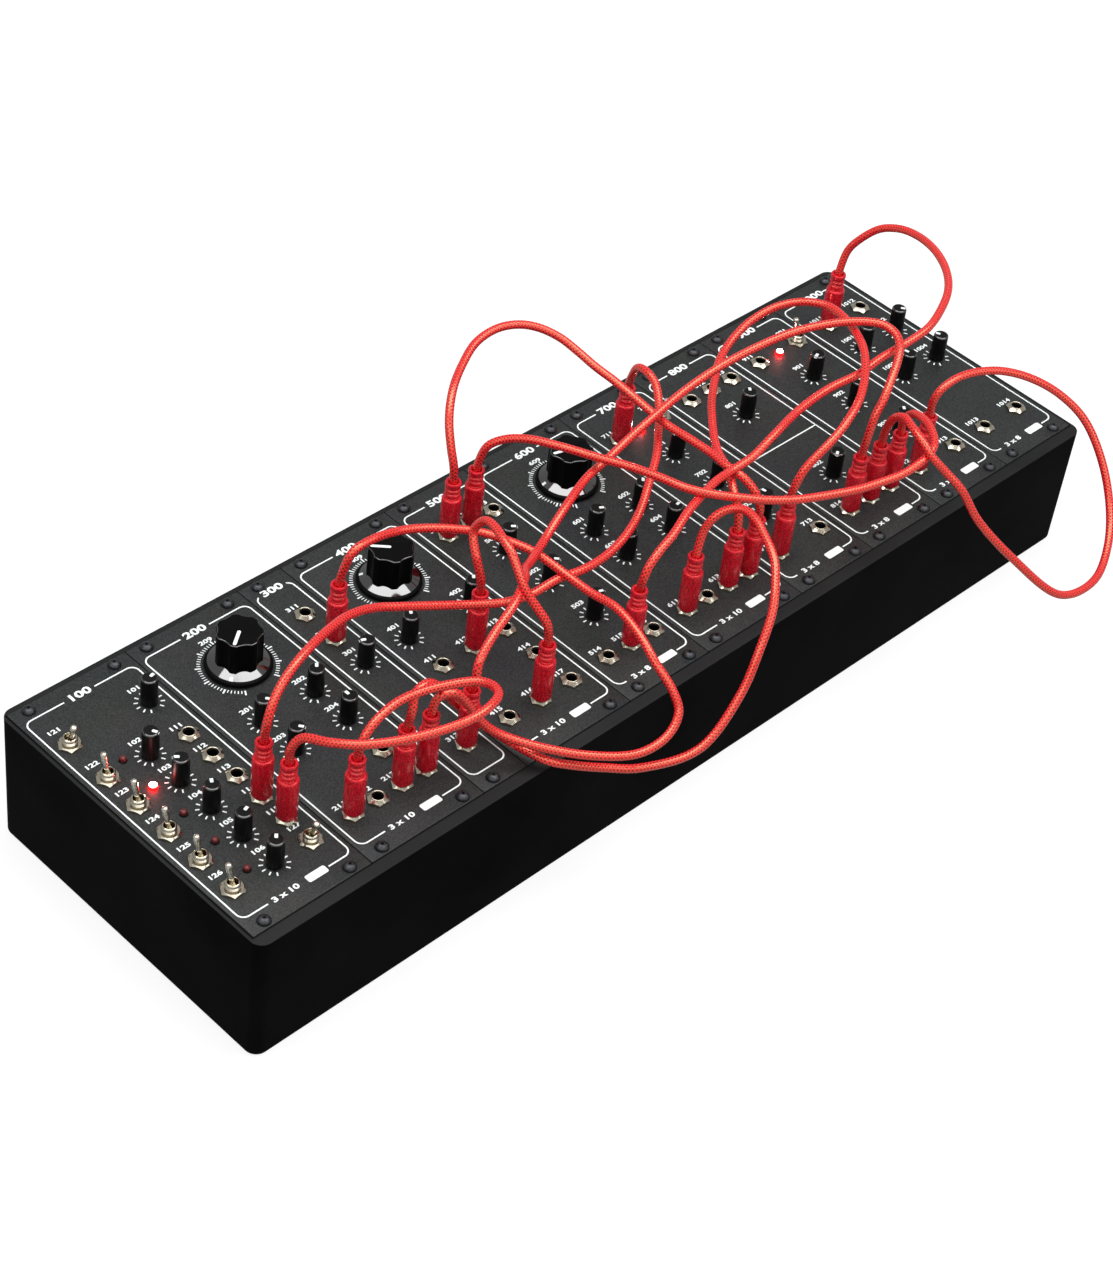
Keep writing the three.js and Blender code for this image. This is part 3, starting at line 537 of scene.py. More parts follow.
def leaveEdit():
    bpy.ops.object.mode_set(mode="OBJECT")


def bevelEdges(piece, test, width, segments):
    pick(piece, "EDGE", test)
    bpy.ops.mesh.bevel(offset=width * mm, segments=segments, affect="EDGES")
    leaveEdit()


def edgeAlong(axis):
    other = [i for i in range(3) if i != axis]
    return lambda e: all(abs(e.verts[0].co[i] - e.verts[1].co[i]) < 1e-7 for i in other)


def edgeAt(height):
    return lambda e: all(abs(v.co.z - height) < 1e-6 for v in e.verts)


def joinPieces(name, pieces):
    activate(pieces[0])
    for piece in pieces[1:]:
        piece.select_set(True)
    if len(pieces) > 1:
        bpy.ops.object.join()
    pieces[0].name = name
    pieces[0].data.name = name
    return pieces[0]


def combine(piece, other, operation):
    activate(piece)
    modifier = piece.modifiers.new("combine", "BOOLEAN")
    modifier.operation = operation
    modifier.object = other
    bpy.ops.object.modifier_apply(modifier=modifier.name)
    bpy.data.objects.remove(other)


def subtract(piece, cutters):
    combine(piece, joinPieces("cutter", cutters), "DIFFERENCE")


def turned(name, profile, sides, hollow=False):
    # a round piece raised ring by ring through (radius, height) points on the Z axis
    clearSelection()
    (firstRadius, firstHeight) = profile[0]
    bpy.ops.mesh.primitive_circle_add(
        vertices=sides, radius=firstRadius * mm, fill_type="NGON", location=(0, 0, firstHeight * mm),
    )
    piece = bpy.context.object
    piece.name = name
    applyPlace()
    bpy.ops.object.mode_set(mode="EDIT")
    bpy.ops.mesh.select_all(action="SELECT")
    for (r0, z0), (r1, z1) in zip(profile, profile[1:]):
        bpy.ops.mesh.extrude_region_move(TRANSFORM_OT_translate={"value": (0, 0, (z1 - z0) * mm)})
        if r1 != r0:
            bpy.ops.transform.resize(value=(r1 / r0, r1 / r0, 1), center_override=(0, 0, z1 * mm))
    if hollow:
        # the two round ends go, and the last ring closes on the first
        choose(piece, "FACE", lambda face: len(face.verts) == sides)
        bpy.ops.mesh.delete(type="FACE")
        bpy.ops.mesh.select_all(action="SELECT")
        bpy.ops.mesh.remove_doubles(threshold=0.001 * mm)
    bpy.ops.mesh.select_all(action="SELECT")
    bpy.ops.mesh.normals_make_consistent(inside=False)
    leaveEdit()
    return piece


def dress(piece, material, slot, angle=35):
    activate(piece)
    bpy.ops.object.shade_smooth_by_angle(angle=math.radians(angle))
    piece.data.materials.clear()
    piece.data.materials.append(material)
    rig.slot(piece, slot)


def copyPiece(piece, name, place, turn=0.0):
    twin = piece.copy()
    twin.data = piece.data.copy()
    twin.name = name
    twin.data.name = name
    bpy.context.scene.collection.objects.link(twin)
    twin.data.transform(Matrix.Translation(place) @ Matrix.Rotation(turn, 4, "Z"))
    return twin


def scatter(master, name, module, spots, slot):
    # one fitting of a panel at its places and turns, joined as one piece
    copies = [copyPiece(master, "copy", place, turn) for place, turn in spots]
    piece = joinPieces(module["name"] + name, copies)
    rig.ride(piece, "synthesizer")
    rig.replaces(piece, module["name"] + "_panel")
    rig.slot(piece, slot)


def removeAll(spares):
    for spare in spares:
        bpy.data.objects.remove(spare)


# Patch leads: where each starts and ends, as panel and socket, and the points that its cord passes
# between its two plugs, from the front left corner of the panel row's top.
braid = {"radius": 1.6, "sides": 6, "step": 1.6, "threads": 5.0, "pitch": 1.4}
plug = {
    "sides": 32, "sunk": 1.6, "boot": 27,
    "tip": [(1.3, -10), (1.5, -9.4), (1.5, 2.4)],
    "body": [
        (3.3, 2.5), (3.6, 2.62), (3.76, 3.0), (3.76, 18.5), (3.72, 18.95), (3.55, 19.3), (3.25, 19.55),
        (2.9, 19.6), (2.5, 19.62), (2.32, 19.8), (2.32, 20.4), (2.5, 20.65), (2.85, 20.9), (2.97, 21.25),
        (2.85, 21.6), (2.5, 21.85), (2.32, 22.1), (2.32, 22.4), (2.5, 22.65), (2.85, 22.9), (2.97, 23.25),
        (2.85, 23.6), (2.5, 23.85), (2.36, 24.1), (2.45, 24.4), (2.95, 24.95), (3.08, 25.6), (3.1, 26.2),
        (2.98, 26.65), (2.65, 26.96), (2.3, 26.95), (2.02, 26.75), (1.87, 26.3), (1.82, 25.5),
    ],
}
leads = [
    {"node": "left", "ends": [("sequencer", 3), ("envelope_1", 0)], "route": [
        (41, 43, 38), (46, 45, 45), (54, 47.6, 49), (64.4, 51, 50), (77.6, 55.6, 48), (90.4, 59, 45),
        (102.4, 59.6, 41), (112, 57, 38), (125, 53, 34), (137, 48.4, 31), (149.6, 43.4, 28.6),
        (160, 41, 28.2), (172, 40, 29.4), (183.6, 38.4, 28.8), (197, 39.4, 28), (210, 42.4, 29),
        (221, 47, 31), (234, 55, 34), (243.6, 61.4, 36), (251, 68, 37.6), (257.6, 74, 39), (263, 80, 41),
        (267, 86, 43), (268.4, 92, 44), (270.4, 98, 41), (271.6, 101, 35),
    ]},
    {"node": "left", "ends": [("sequencer", 4), ("oscillator", 0)], "route": [
        (41, 31, 35), (43, 28.6, 40), (46, 18.6, 44), (52, 10, 46), (61, 3.6, 47), (73, -2, 48),
        (84.6, -5.4, 49), (93.6, -5, 49), (100.6, -2, 48), (103.6, 4, 46), (102, 9.6, 44.4),
        (95, 15.2, 42.8), (86, 18.8, 42.4), (76, 20.2, 42), (66, 19.6, 39.4), (61, 19, 35),
    ]},
    {"node": "left", "ends": [("oscillator", 3), ("wavefolder", 1)], "route": [
        (95.4, 19.2, 34), (100, 16.6, 35), (104, 14.6, 29.6), (108, 12.6, 21.6), (113.4, 9, 14.6),
        (122, 0, 10), (137.4, -14, 6), (152.4, -23.4, 5), (164, -25.4, 8), (171, -23, 13), (172, -18, 19),
        (171.4, -9, 26), (173.4, 1, 30), (175.4, 14.6, 32), (175, 27, 30.8), (173.6, 42.4, 32.2),
        (170.6, 51.4, 35), (168, 59.4, 35.2), (164.6, 69, 34.6), (160, 74.4, 35), (147.6, 82.4, 37),
        (137.6, 85.4, 39), (124.6, 85.4, 42), (115.6, 85.4, 41),
    ]},
    {"node": "left", "ends": [("oscillator", 2), ("filter", 0)], "route": [
        (82, 18.2, 36.2), (84.4, 19.8, 41.6), (90.4, 20.6, 42.2), (96.4, 20.2, 37), (101.4, 22.4, 29.6),
        (108, 25.4, 20.4), (115, 25.4, 11), (119.6, 19, 5.4), (125.6, -4.6, 4), (133, -10, 1),
        (144.6, -16, -3), (155.6, -22.4, -5), (178, -29.6, -4), (196.4, -29, 10), (206.4, -26.4, 24),
        (216.4, -21.6, 34), (223, -15.6, 40), (227, -11, 43), (229.6, -6, 45), (232, -0.4, 46.4),
        (234, 5, 47.6), (235, 11, 47.6), (234, 15, 46.4), (231.6, 18, 44.4), (228.4, 20, 41), (226, 21, 36),
    ]},
    {"node": "left", "ends": [("wavefolder", 2), ("amplifier", 3)], "route": [
        (111.6, 18.4, 33.6), (112.6, 19, 39), (117.6, 21, 42), (123, 23, 43.6), (136.6, 27.4, 47),
        (148, 34.4, 47), (154.6, 40.4, 43.4), (163, 45.6, 38.8), (176, 52, 36.8), (191.4, 57.6, 40),
        (209, 64, 41), (219.4, 65.6, 42), (230.4, 67, 44), (244.4, 67.6, 48), (264.4, 69, 51.6),
        (281.6, 67.6, 55.6), (297, 64, 59.6), (311.6, 59.6, 62.4), (324.4, 53.6, 64), (332, 49, 64.4),
        (338, 44, 64.4), (341, 39.6, 64), (341, 34, 63), (338, 29.6, 61.6), (333, 26, 59), (327, 23, 55.6),
        (321, 20.4, 51), (316.4, 19.6, 45.6), (314, 19, 38),
    ]},
    {"node": "right", "ends": [("envelope_1", 1), ("filter", 2)], "route": [
        (274, 19, 35), (277, 18.4, 41), (282.6, 17.4, 46), (289, 17, 50), (296.6, 18, 53.6),
        (305.6, 21, 56.6), (314, 26, 58.6), (320.6, 31.4, 60), (327, 38, 60.6), (332, 45.6, 60.4),
        (336.4, 55, 60), (339, 66, 58.4), (336, 75.6, 56), (329.6, 83, 52), (320, 86.4, 47.6),
        (309, 85.6, 44), (298, 81.4, 42), (288.6, 75, 40.6), (279, 67.4, 39.6), (272, 60.4, 39),
        (264.6, 52.4, 39), (258, 44, 40.2), (252.2, 34.4, 42), (247.6, 27.4, 40), (245.6, 22, 35.2),
    ]},
    {"node": "right", "ends": [("filter", 3), ("mixer", 0)], "route": [
        (255, 19.4, 33), (254.4, 21.4, 37.6), (253.2, 25, 41.6), (251.8, 29.4, 44), (251.2, 36, 44.4),
        (252.4, 43, 44), (252, 55.6, 44), (251.4, 64.6, 44), (250.4, 82.6, 47), (249.4, 91, 49),
        (247.4, 99.6, 51.4), (246, 107.6, 54), (243.6, 115, 57), (239, 121.6, 59.6), (233, 126.4, 61),
        (225, 129.6, 61), (214.4, 129.6, 59.6), (204, 125.6, 57), (193, 119, 54), (185.6, 112.4, 48),
        (182.4, 107, 40), (181.6, 104, 33.6),
    ]},
    {"node": "right", "ends": [("amplifier", 5), ("mixer", 1)], "route": [
        (335.4, 19, 34.6), (335.4, 16, 39.6), (332, 9, 43.6), (327, 1, 45.6), (321.4, -5.2, 45.6),
        (316.4, -7.2, 44.6), (311, -7.6, 43.6), (303.4, -6.6, 41.6), (294, -4, 40.6), (284.4, -1.6, 40.6),
        (279, -0, 41), (268, 3.6, 42), (257, 7.6, 43.4), (247.4, 12, 45.4), (238.4, 17, 47.8),
        (230.4, 23.6, 49.2), (225, 31, 49.8), (222, 41.6, 49.4), (219, 52.6, 48.4), (214.4, 64, 47.4),
        (208.4, 78.6, 46.4), (204, 89, 45), (199.6, 97, 42), (195.6, 101.6, 37.6),
    ]},
    {"node": "right", "ends": [("envelope_2", 1), ("amplifier", 4)], "route": [
        (353.6, 19.6, 34), (355, 18.6, 39.4), (361.6, 17.6, 42.4), (370, 15.6, 43), (381, 10.6, 42),
        (392, 3, 38), (401.6, -6, 31), (407.6, -16, 22), (408.4, -27.6, 9), (403.6, -39, -4),
        (392.4, -49, -12), (376, -56, -16), (354, -55, -12), (336.6, -41, 6), (326, -28.4, 22),
        (321.6, -21, 34), (317.6, -14.4, 40.8), (314.6, -9.8, 45.8), (314.6, -4.4, 49.4), (316.6, 2, 50.4),
        (320.6, 9.6, 49), (322.6, 15, 44.4), (323.6, 18, 37.4),
    ]},
    {"node": "right", "ends": [("mixer", 4), ("output", 0)], "route": [
        (192.6, 18.4, 33), (194.6, 18.4, 38), (200, 19, 42), (208, 20.4, 44.6), (218.6, 24, 46.6),
        (229, 27, 46.8), (239, 29.4, 46.8), (249.2, 30.6, 46), (259.2, 30, 47.6), (270.6, 31, 51),
        (288.6, 34.6, 52), (306.6, 35.6, 53), (320.6, 33.6, 54.4), (332.4, 33.6, 56), (340, 33, 57),
        (347, 32, 58.4), (358, 32, 60), (370.4, 36, 61), (381.6, 42, 61.6), (392, 51.6, 61),
        (400.4, 64, 59.6), (405.6, 76.4, 57), (407.6, 87, 53.6), (406, 95, 49.6), (402.4, 100, 44),
        (399.6, 103.6, 37),
    ]},
    {"node": "left", "ends": [("sample_hold", 1), ("sample_hold", 5)], "route": [
        (146.4, 53, 35), (145.4, 55, 43), (147, 58.6, 47), (148.4, 60.6, 50), (149.4, 59, 54.4),
        (149.4, 56, 57.4), (148, 50.6, 59), (145.4, 43.6, 59.4), (144, 38, 58), (143, 33.6, 54.4),
        (142.4, 28.6, 49), (144, 24, 43.4), (146, 20, 37.4),
    ]},
]


def smoothPath(points, step):
    # one smooth line through the points, in short even steps
    ends = [points[0] * 2 - points[1], *points, points[-1] * 2 - points[-2]]
    path = [points[0]]
    for a, b, c, d in zip(ends, ends[1:], ends[2:], ends[3:]):
        ab, bc, cd = [max((q - p).length, 1e-6) ** 0.5 for p, q in ((a, b), (b, c), (c, d))]
        start = ((b - a) / ab - (c - a) / (ab + bc) + (c - b) / bc) * bc
        end = ((c - b) / bc - (d - b) / (bc + cd) + (d - c) / cd) * bc
        count = max(1, round((c - b).length / step))
        for i in range(1, count + 1):
            t = i / count
            path.append(
                b + start * t + (3 * (c - b) - 2 * start - end) * t ** 2
                + (2 * (b - c) + start + end) * t ** 3
            )
    return path


def makeCord(name, path, material):
    clearSelection()
    line = bpy.data.curves.new(name, "CURVE")
    line.dimensions = "3D"
    line.bevel_depth = braid["radius"] * mm
    line.bevel_resolution = braid["sides"]
    line.use_fill_caps = True
    spline = line.splines.new("POLY")
    spline.points.add(len(path) - 1)
    for point, place in zip(spline.points, path):
        point.co = (*place, 1)
    cord = bpy.data.objects.new(name, line)
    bpy.context.scene.collection.objects.link(cord)
    activate(cord)
    bpy.ops.object.convert(target="MESH")
    cord = bpy.context.object
    bpy.ops.object.mode_set(mode="EDIT")
    bpy.ops.mesh.select_all(action="SELECT")
    bpy.ops.mesh.normals_make_consistent(inside=False)
    leaveEdit()
    length = sum((b - a).length for a, b in zip(path, path[1:]))
    for corner in cord.data.uv_layers[0].data:
        corner.uv.x *= length / mm
    dress(cord, material, "lead", 60)
    return cord, length


byName = {module["name"]: module for module in modules}
braidRed = makeBraid()
plugRed = makePlugPlastic()
nickel = makeNickel("nickelPlate", "#b0a998", "#cec6b4")
plugTip = turned("plugTip", plug["tip"], plug["sides"])
dress(plugTip, nickel, "lever")
plugBody = turned("plugBody", plug["body"], plug["sides"])
dress(plugBody, plugRed, "lead")
plugMaster = joinPieces("plugMaster", [plugBody, plugTip])
for number, lead in enumerate(leads, 1):
    places = [sharePoint(byName[owner], byName[owner]["jacks"][index]) for owner, index in lead["ends"]]
    boots = [place + up * plug["boot"] * mm for place in places]
    insides = [boot - up * plug["sunk"] * mm for boot in boots]
    points = [insides[0], boots[0], *[rowPoint(*p) for p in lead["route"]], boots[1], insides[1]]
    path = smoothPath(points, braid["step"] * mm)
    cord, length = makeCord(f"lead{number}Cord", path, braidRed)
    plugs = [copyPiece(plugMaster, f"lead{number}Plug{i}", place) for i, place in enumerate(places, 1)]
    for piece in (cord, *plugs):
        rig.ride(piece, "synthesizer")
        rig.replaces(piece, "patch_leads_" + lead["node"])
        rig.slot(piece, "lead")
    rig.cord(
        cord, exit=path[0], length=length, diameter=2 * braid["radius"] * mm, far_end="object",
        stiffness="limp", lay="loose", path=path, with_pieces=plugs,
    )
removeAll([plugMaster])
print("leads", len(leads))

# Case: a box with rounded corners, hollowed out, with a ledge along the front of its mouth and a
# hole for the supply inlet in its rear wall.
inlet = {
    "side": 30, "height": -34.3, "hole": 4.3, "cut": 8, "sunk": 0.1, "sides": 32, "pinSides": 16,
    "ring": [(2.6, 0.02), (3.9, 0.02), (3.9, 0.2), (3.7, 0.35), (2.8, 0.35), (2.6, 0.2), (2.6, 0.02)],
    "pin": [(0.9, 0.02), (0.9, 0.25), (0.54, 0.38)],
}
inletPlace = rowPoint(
    rowLength - inlet["side"], panel["depth"] + case["fit"] + case["rearWall"], inlet["height"],
)
# one coat in two copies: darker and duller on the walls (painted shade), lighter and shinier on the upward faces
# (painted sheen)
shadedWallCoat = makePowderCoat("polyesterPowderCoatBlack", "#050505", "#141414", 0.02)
sheenTopCoat = makePowderCoat("sheenPaintedPowderCoatBlack", "#0a0a0b", "#1a1b1c", 0.25)
tub = block("caseTub", caseLow, caseHigh)
bevelEdges(tub, edgeAlong(2), case["corner"], 8)
bevelEdges(tub, edgeAt(caseLow.z), case["bottomEdge"], 3)
innerLow = caseLow + Vector((case["sideWall"], case["frontWall"], case["floor"])) * mm
innerHigh = caseHigh - Vector((case["sideWall"], case["rearWall"], case["ledge"])) * mm
subtract(tub, [block("cavity", innerLow, innerHigh)])
mouthLow = Vector((innerLow.x, rowCorner.y - case["fit"] * mm, innerHigh.z - case["overlap"] * mm))
mouthHigh = Vector((innerHigh.x, innerHigh.y, caseHigh.z + case["overrun"] * mm))
subtract(tub, [block("mouth", mouthLow, mouthHigh)])
subtract(tub, [cylinder(inlet["hole"], inlet["cut"], inletPlace, rotation=(math.pi / 2, 0, 0))])
bevelEdges(tub, edgeAt(caseHigh.z), case["rimEdge"], 2)
dress(tub, shadedWallCoat, "case_paint")
tub.data.materials.append(sheenTopCoat)
# faces that point upwards take the lighter, shinier copy: a painted sheen
for face in tub.data.polygons:
    if face.normal.z > case["sheenSlope"]:
        face.material_index = 1
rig.ride(tub, "synthesizer")
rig.replaces(tub, "case_tub")
print("case")

# Panels: a plate with a hole for each control.
panelPaint = makePanelPaint()
holes = {"jack": 2.95, "toggle": 2.95, "knob": 2.3, "lamp": 1.55, "large": 3.6, "sides": 24, "cut": 8}
jointOf = {joint["child"]: joint for joint in frame["joints"]}


def middle(node):
    lowPoint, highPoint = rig.box(node)
    return Vector(((lowPoint.x + highPoint.x) / 2, (lowPoint.y + highPoint.y) / 2, rowCorner.z))


for module in modules:
    pivots = [Vector(jointOf[toggle + "_lever"]["pos_m"]) for toggle in module["toggles"]]
    module["places"] = {
        "jack": [sharePoint(module, share) for share in module["jacks"]],
        "toggle": [Vector((pivot.x, pivot.y, rowCorner.z)) for pivot in pivots],
        "knob": [middle(name + "_knob") for name in module["knobs"]],
        "lamp": [sharePoint(module, share) for share in module["lamps"]],
        "large": [middle(name + "_knob") for name in module["large"]],
    }
    lowPoint = rowPoint(module["left"] + panel["gap"] / 2, 0, -panel["thickness"])
    highPoint = rowPoint(module["left"] + module["width"] - panel["gap"] / 2, panel["depth"])
    plate = block(module["name"] + "Plate", lowPoint, highPoint)
    bevelEdges(plate, edgeAlong(2), panel["corner"], 3)
    bevelEdges(plate, edgeAt(rowCorner.z), panel["edge"], 2)
    subtract(plate, [
        cylinder(holes[kind], holes["cut"], place, holes["sides"])
        for kind, places in module["places"].items() for place in places
    ])
    dress(plate, panelPaint, "panel_paint")
    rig.ride(plate, "synthesizer")
    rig.replaces(plate, module["name"] + "_panel")
print("plates", len(modules))

# Screws: a domed head with a hexagon socket, two at each end of a panel, one on the narrow one,
# each left at another angle.
screw = {
    "side": 7.1, "end": 3, "sides": 24, "socket": 0.6, "socketDepth": 0.7, "narrow": 4, "turns": (0.4, 0.7),
    "profile": [
        (1.2, -6), (1.2, 0), (2.5, 0.01), (2.5, 0.22), (2.42, 0.6), (2.2, 1.0), (1.85, 1.36), (1.4, 1.63),
        (0.9, 1.78), (0.4, 1.8),
    ],
}
screwTop = screw["profile"][-1][1]
screwMaster = turned("screw", screw["profile"], screw["sides"])
subtract(screwMaster, [cylinder(screw["socket"], 2 * screw["socketDepth"], (0, 0, screwTop * mm), 6)])
dress(screwMaster, makeScrewZinc(), "lever")
for module in modules:
    columns = [module["left"] + screw["side"]]
    if module["units"] > screw["narrow"]:
        columns.append(module["left"] + module["width"] - screw["side"])
    scatter(screwMaster, "Screws", module, [
        (rowPoint(x, y), screw["turns"][0] * x + screw["turns"][1] * y)
        for x in columns for y in (screw["end"], panel["depth"] - screw["end"])
    ], "panel_paint")
removeAll([screwMaster])
print("screws")

# Sockets: a hexagon nut turned to a cone, the rounded end of its bush and a black sleeve in the bore.
jack = {
    "flats": 7.2, "nut": 1.9, "cone": [(4.3, -0.1), (4.3, 0.8), (2.7, 1.92)], "nutBore": 2.5, "sides": 32,
    "collar": [
        (1.95, -1.9), (2.62, -1.9), (2.62, 1.9), (2.58, 2.08), (2.46, 2.18), (2.3, 2.2), (2.16, 2.16),
        (2.05, 2.02), (1.98, 1.8), (1.95, 1.5), (1.95, -1.9),
    ],
    "sleeve": [(1.94, -1.9), (1.94, 1.45), (1.75, 1.35), (1.72, 1.1), (1.72, -1.85), (1.94, -1.9)],
}
nutShape = {"coneSides": 48, "foot": 0.02, "cut": 10}


def hexNut(name, fitting):
    # a hexagon whose top is turned to a cone, with a hole through it
    height, foot = fitting["nut"], nutShape["foot"]
    piece = cylinder(
        fitting["flats"] / math.sqrt(3), height - foot, (0, 0, (height + foot) / 2 * mm), 6,
        (0, 0, math.pi / 6),
    )
    piece.name = name
    combine(piece, turned("cone", fitting["cone"], nutShape["coneSides"]), "INTERSECT")
    subtract(piece, [cylinder(fitting["nutBore"], nutShape["cut"])])
    dress(piece, nickel, "lever", 30)
    return piece


jackNut = hexNut("jackNut", jack)
collar = turned("collar", jack["collar"], jack["sides"], hollow=True)
dress(collar, nickel, "lever", 40)
sleeve = turned("sleeve", jack["sleeve"], jack["sides"], hollow=True)
gripPlastic = makeKnobPlastic("mouldedPhenolicBlack", "#030303", "#080808", 0.05)
dress(sleeve, gripPlastic, "knob", 40)
jackMaster = joinPieces("jackMaster", [jackNut, collar, sleeve])
for module in modules:
    scatter(jackMaster, "Sockets", module, [(place, 0) for place in module["places"]["jack"]], "lever")
removeAll([jackMaster])
print("sockets")

# Toggles: a nut and a threaded bush on the panel, and a bat lever that tilts in the bush.
toggle = {
    "flats": 8.0, "nut": 1.5, "cone": [(4.7, -0.1), (4.7, 0.45), (3.65, 1.5), (3.6, 1.55)], "nutBore": 2.3,
    "sides": 28, "pivot": 1.2, "lean": 15,
    "bush": [
        (2.68, -4.9), (2.68, 1.4), (2.4, 1.55), (2.68, 1.8), (2.4, 2.1), (2.68, 2.4), (2.4, 2.7), (2.68, 3.0),
        (2.66, 3.3), (2.5, 3.62), (2.28, 3.82), (2.05, 3.9), (1.92, 3.8), (1.88, 3.5), (1.88, -4.6),
    ],
    "lever": [
        (0.55, -3.4), (0.6, -3.3), (0.6, -1.5), (0.95, -1.3), (1.35, -0.85), (1.58, -0.25), (1.58, 0.25),
        (1.4, 0.75), (1.12, 1.2), (0.92, 1.65), (0.9, 2.6), (1.14, 7.6), (1.22, 8.2), (1.22, 8.7),
        (1.12, 9.15), (0.86, 9.45), (0.5, 9.58), (0.2, 9.6),
    ],
}
toggleNut = hexNut("toggleNut", toggle)
bush = turned("bush", toggle["bush"], toggle["sides"])
dress(bush, nickel, "lever", 30)
bushMaster = joinPieces("bushMaster", [toggleNut, bush])
leverMaster = turned("leverMaster", toggle["lever"], toggle["sides"])
dress(leverMaster, makeNickel("brightNickelPlate", "#cac3b4", "#e4ded0"), "lever", 40)
for module in modules:
    if module["toggles"]:
        scatter(bushMaster, "Bushes", module, [(place, 0) for place in module["places"]["toggle"]], "lever")
    for name, place in zip(module["toggles"], module["places"]["toggle"]):
        # a lever that can only tilt one way from rest leans the other way
        joint = jointOf[name + "_lever"]
        lean = -toggle["lean"] if joint["range_deg"][1] > 0 else toggle["lean"]
        lever = copyPiece(leverMaster, name + "Lever", (0, 0, 0))
        lever.data.transform(Matrix.Rotation(math.radians(lean), 4, "X"))
        lever.data.transform(Matrix.Translation(place + up * toggle["pivot"] * mm))
        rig.ride(lever, name + "_lever")
        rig.replaces(lever, name + "_toggle")
        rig.slot(lever, "lever")
removeAll([bushMaster, leverMaster])
print("toggles")

# Small knobs: a slightly tapered cap with a buffed, chamfered top, and a white bar that runs from
# near its middle over its rim.
ink = makeInk()
knobPlastic = makeKnobPlastic("mouldedAbsBlack", "#050505", "#0c0c0d", 0.14)
skirtGloss = makeSkirtGloss()
dial = {"span": 300, "half": 150, "buffed": (0.12, 0.97)}  # degrees, and how steep a buffed face is
knob = {
    "sides": 40, "buffFrom": 10.9,
    "profile": [
        (1.7, -8), (1.7, 0.4), (3.05, 0.4), (3.17, 0.48), (3.2, 0.7), (2.96, 11.1), (2.92, 11.3), (2.8, 11.5),
        (2.6, 11.68), (2.48, 11.72), (1.4, 11.7), (0.3, 11.7),
    ],
    "bar": {"width": 1.15, "from": 0.5, "to": 2.3, "top": 11.8, "depth": 0.15, "round": 0.3},
    "lip": (0, 0.7, -0.55),
}


def buff(piece, height):
    # the rounded edge above a height is polished
    flattest, steepest = dial["buffed"]
    piece.data.materials.append(skirtGloss)
    for face in piece.data.polygons:
        if face.center.z > height * mm and flattest < face.normal.z < steepest:
            face.material_index = 1


def pointerBar(name, bar):
    # a flat bar towards the rear, sunk into the cap
    half = bar["width"] / 2
    lowPoint = Vector((-half, bar["from"], bar["top"] - bar["depth"])) * mm
    return block(name, lowPoint, Vector((half, bar["to"], bar["top"])) * mm)


def placeKnob(master, name, place):
    pointer = -math.radians(jointOf[name + "_control"]["range_deg"][0] + dial["half"])
    piece = copyPiece(master, name + "Knob", place, pointer)
    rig.ride(piece, name + "_control")
    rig.replaces(piece, name + "_knob")
    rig.slot(piece, "knob")


bar = pointerBar("bar", knob["bar"])
pick(bar, "FACE", lambda f: f.normal.y > 0.9)
bpy.ops.mesh.extrude_region_move(TRANSFORM_OT_translate={"value": Vector(knob["lip"]) * mm})
leaveEdit()
barMiddle = (knob["bar"]["from"] + knob["bar"]["to"]) / 2 * mm
bevelEdges(bar, lambda e: edgeAlong(2)(e) and e.verts[0].co.y < barMiddle, knob["bar"]["round"], 4)
dress(bar, ink, "knob")
cap = turned("cap", knob["profile"], knob["sides"])
dress(cap, knobPlastic, "knob", 25)
buff(cap, knob["buffFrom"])
knobMaster = joinPieces("knobMaster", [cap, bar])
for module in modules:
    for name, place in zip(module["knobs"], module["places"]["knob"]):
        placeKnob(knobMaster, name, place)
removeAll([knobMaster])
print("small knobs")

# Large knobs: a dull rim, a glossy shallow cone with a white dot, and a fluted grip with its line.
largeKnob = {
    "sides": 96, "ridges": 7, "grip": 8.5, "gripTop": 16.5, "gripFoot": 3.3, "gripEdge": 0.38, "buffFrom": 15,
    "flute": 7.39, "valley": 7.6, "cut": 30, "cutMiddle": 12,
    "skirt": [
        (3, -8), (3, 0.6), (11.95, 0.6), (12.18, 0.72), (12.25, 0.95), (12.25, 1.3), (12.15, 1.6),
        (11.9, 1.9), (11.5, 2.15), (11.0, 2.3),
    ],
    "cone": [(11.2, 2.05), (11.13, 2.2), (11.05, 2.27), (10.97, 2.31), (7.2, 4.15), (7.0, 4.15)],
    "line": {"width": 1.25, "from": 0.2, "to": 7.8, "top": 16.56, "depth": 0.5, "round": 0.6},
    "dot": {"low": (-0.6, -0.8, -0.3), "high": (0.6, 0.8, 0.05), "place": (0, 10.3, 2.63), "lean": -26},
}
skirt = turned("skirt", largeKnob["skirt"], largeKnob["sides"])
dress(skirt, gripPlastic, "knob", 25)
cone = turned("cone", largeKnob["cone"], largeKnob["sides"])
dress(cone, skirtGloss, "knob", 25)
gripEnds = [(largeKnob["grip"], largeKnob["gripFoot"]), (largeKnob["grip"], largeKnob["gripTop"])]
grip = turned("grip", gripEnds, largeKnob["sides"])
flutes = []
for i in range(largeKnob["ridges"]):
    angle = (i + 0.5) * 2 * math.pi / largeKnob["ridges"]
    reach = largeKnob["valley"] + largeKnob["flute"]
    place = Vector((reach * math.sin(angle), reach * math.cos(angle), largeKnob["cutMiddle"])) * mm
    flutes.append(cylinder(largeKnob["flute"], largeKnob["cut"], place, largeKnob["sides"]))
subtract(grip, flutes)
bevelEdges(grip, edgeAt(largeKnob["gripTop"] * mm), largeKnob["gripEdge"], 4)
dress(grip, gripPlastic, "knob", 25)
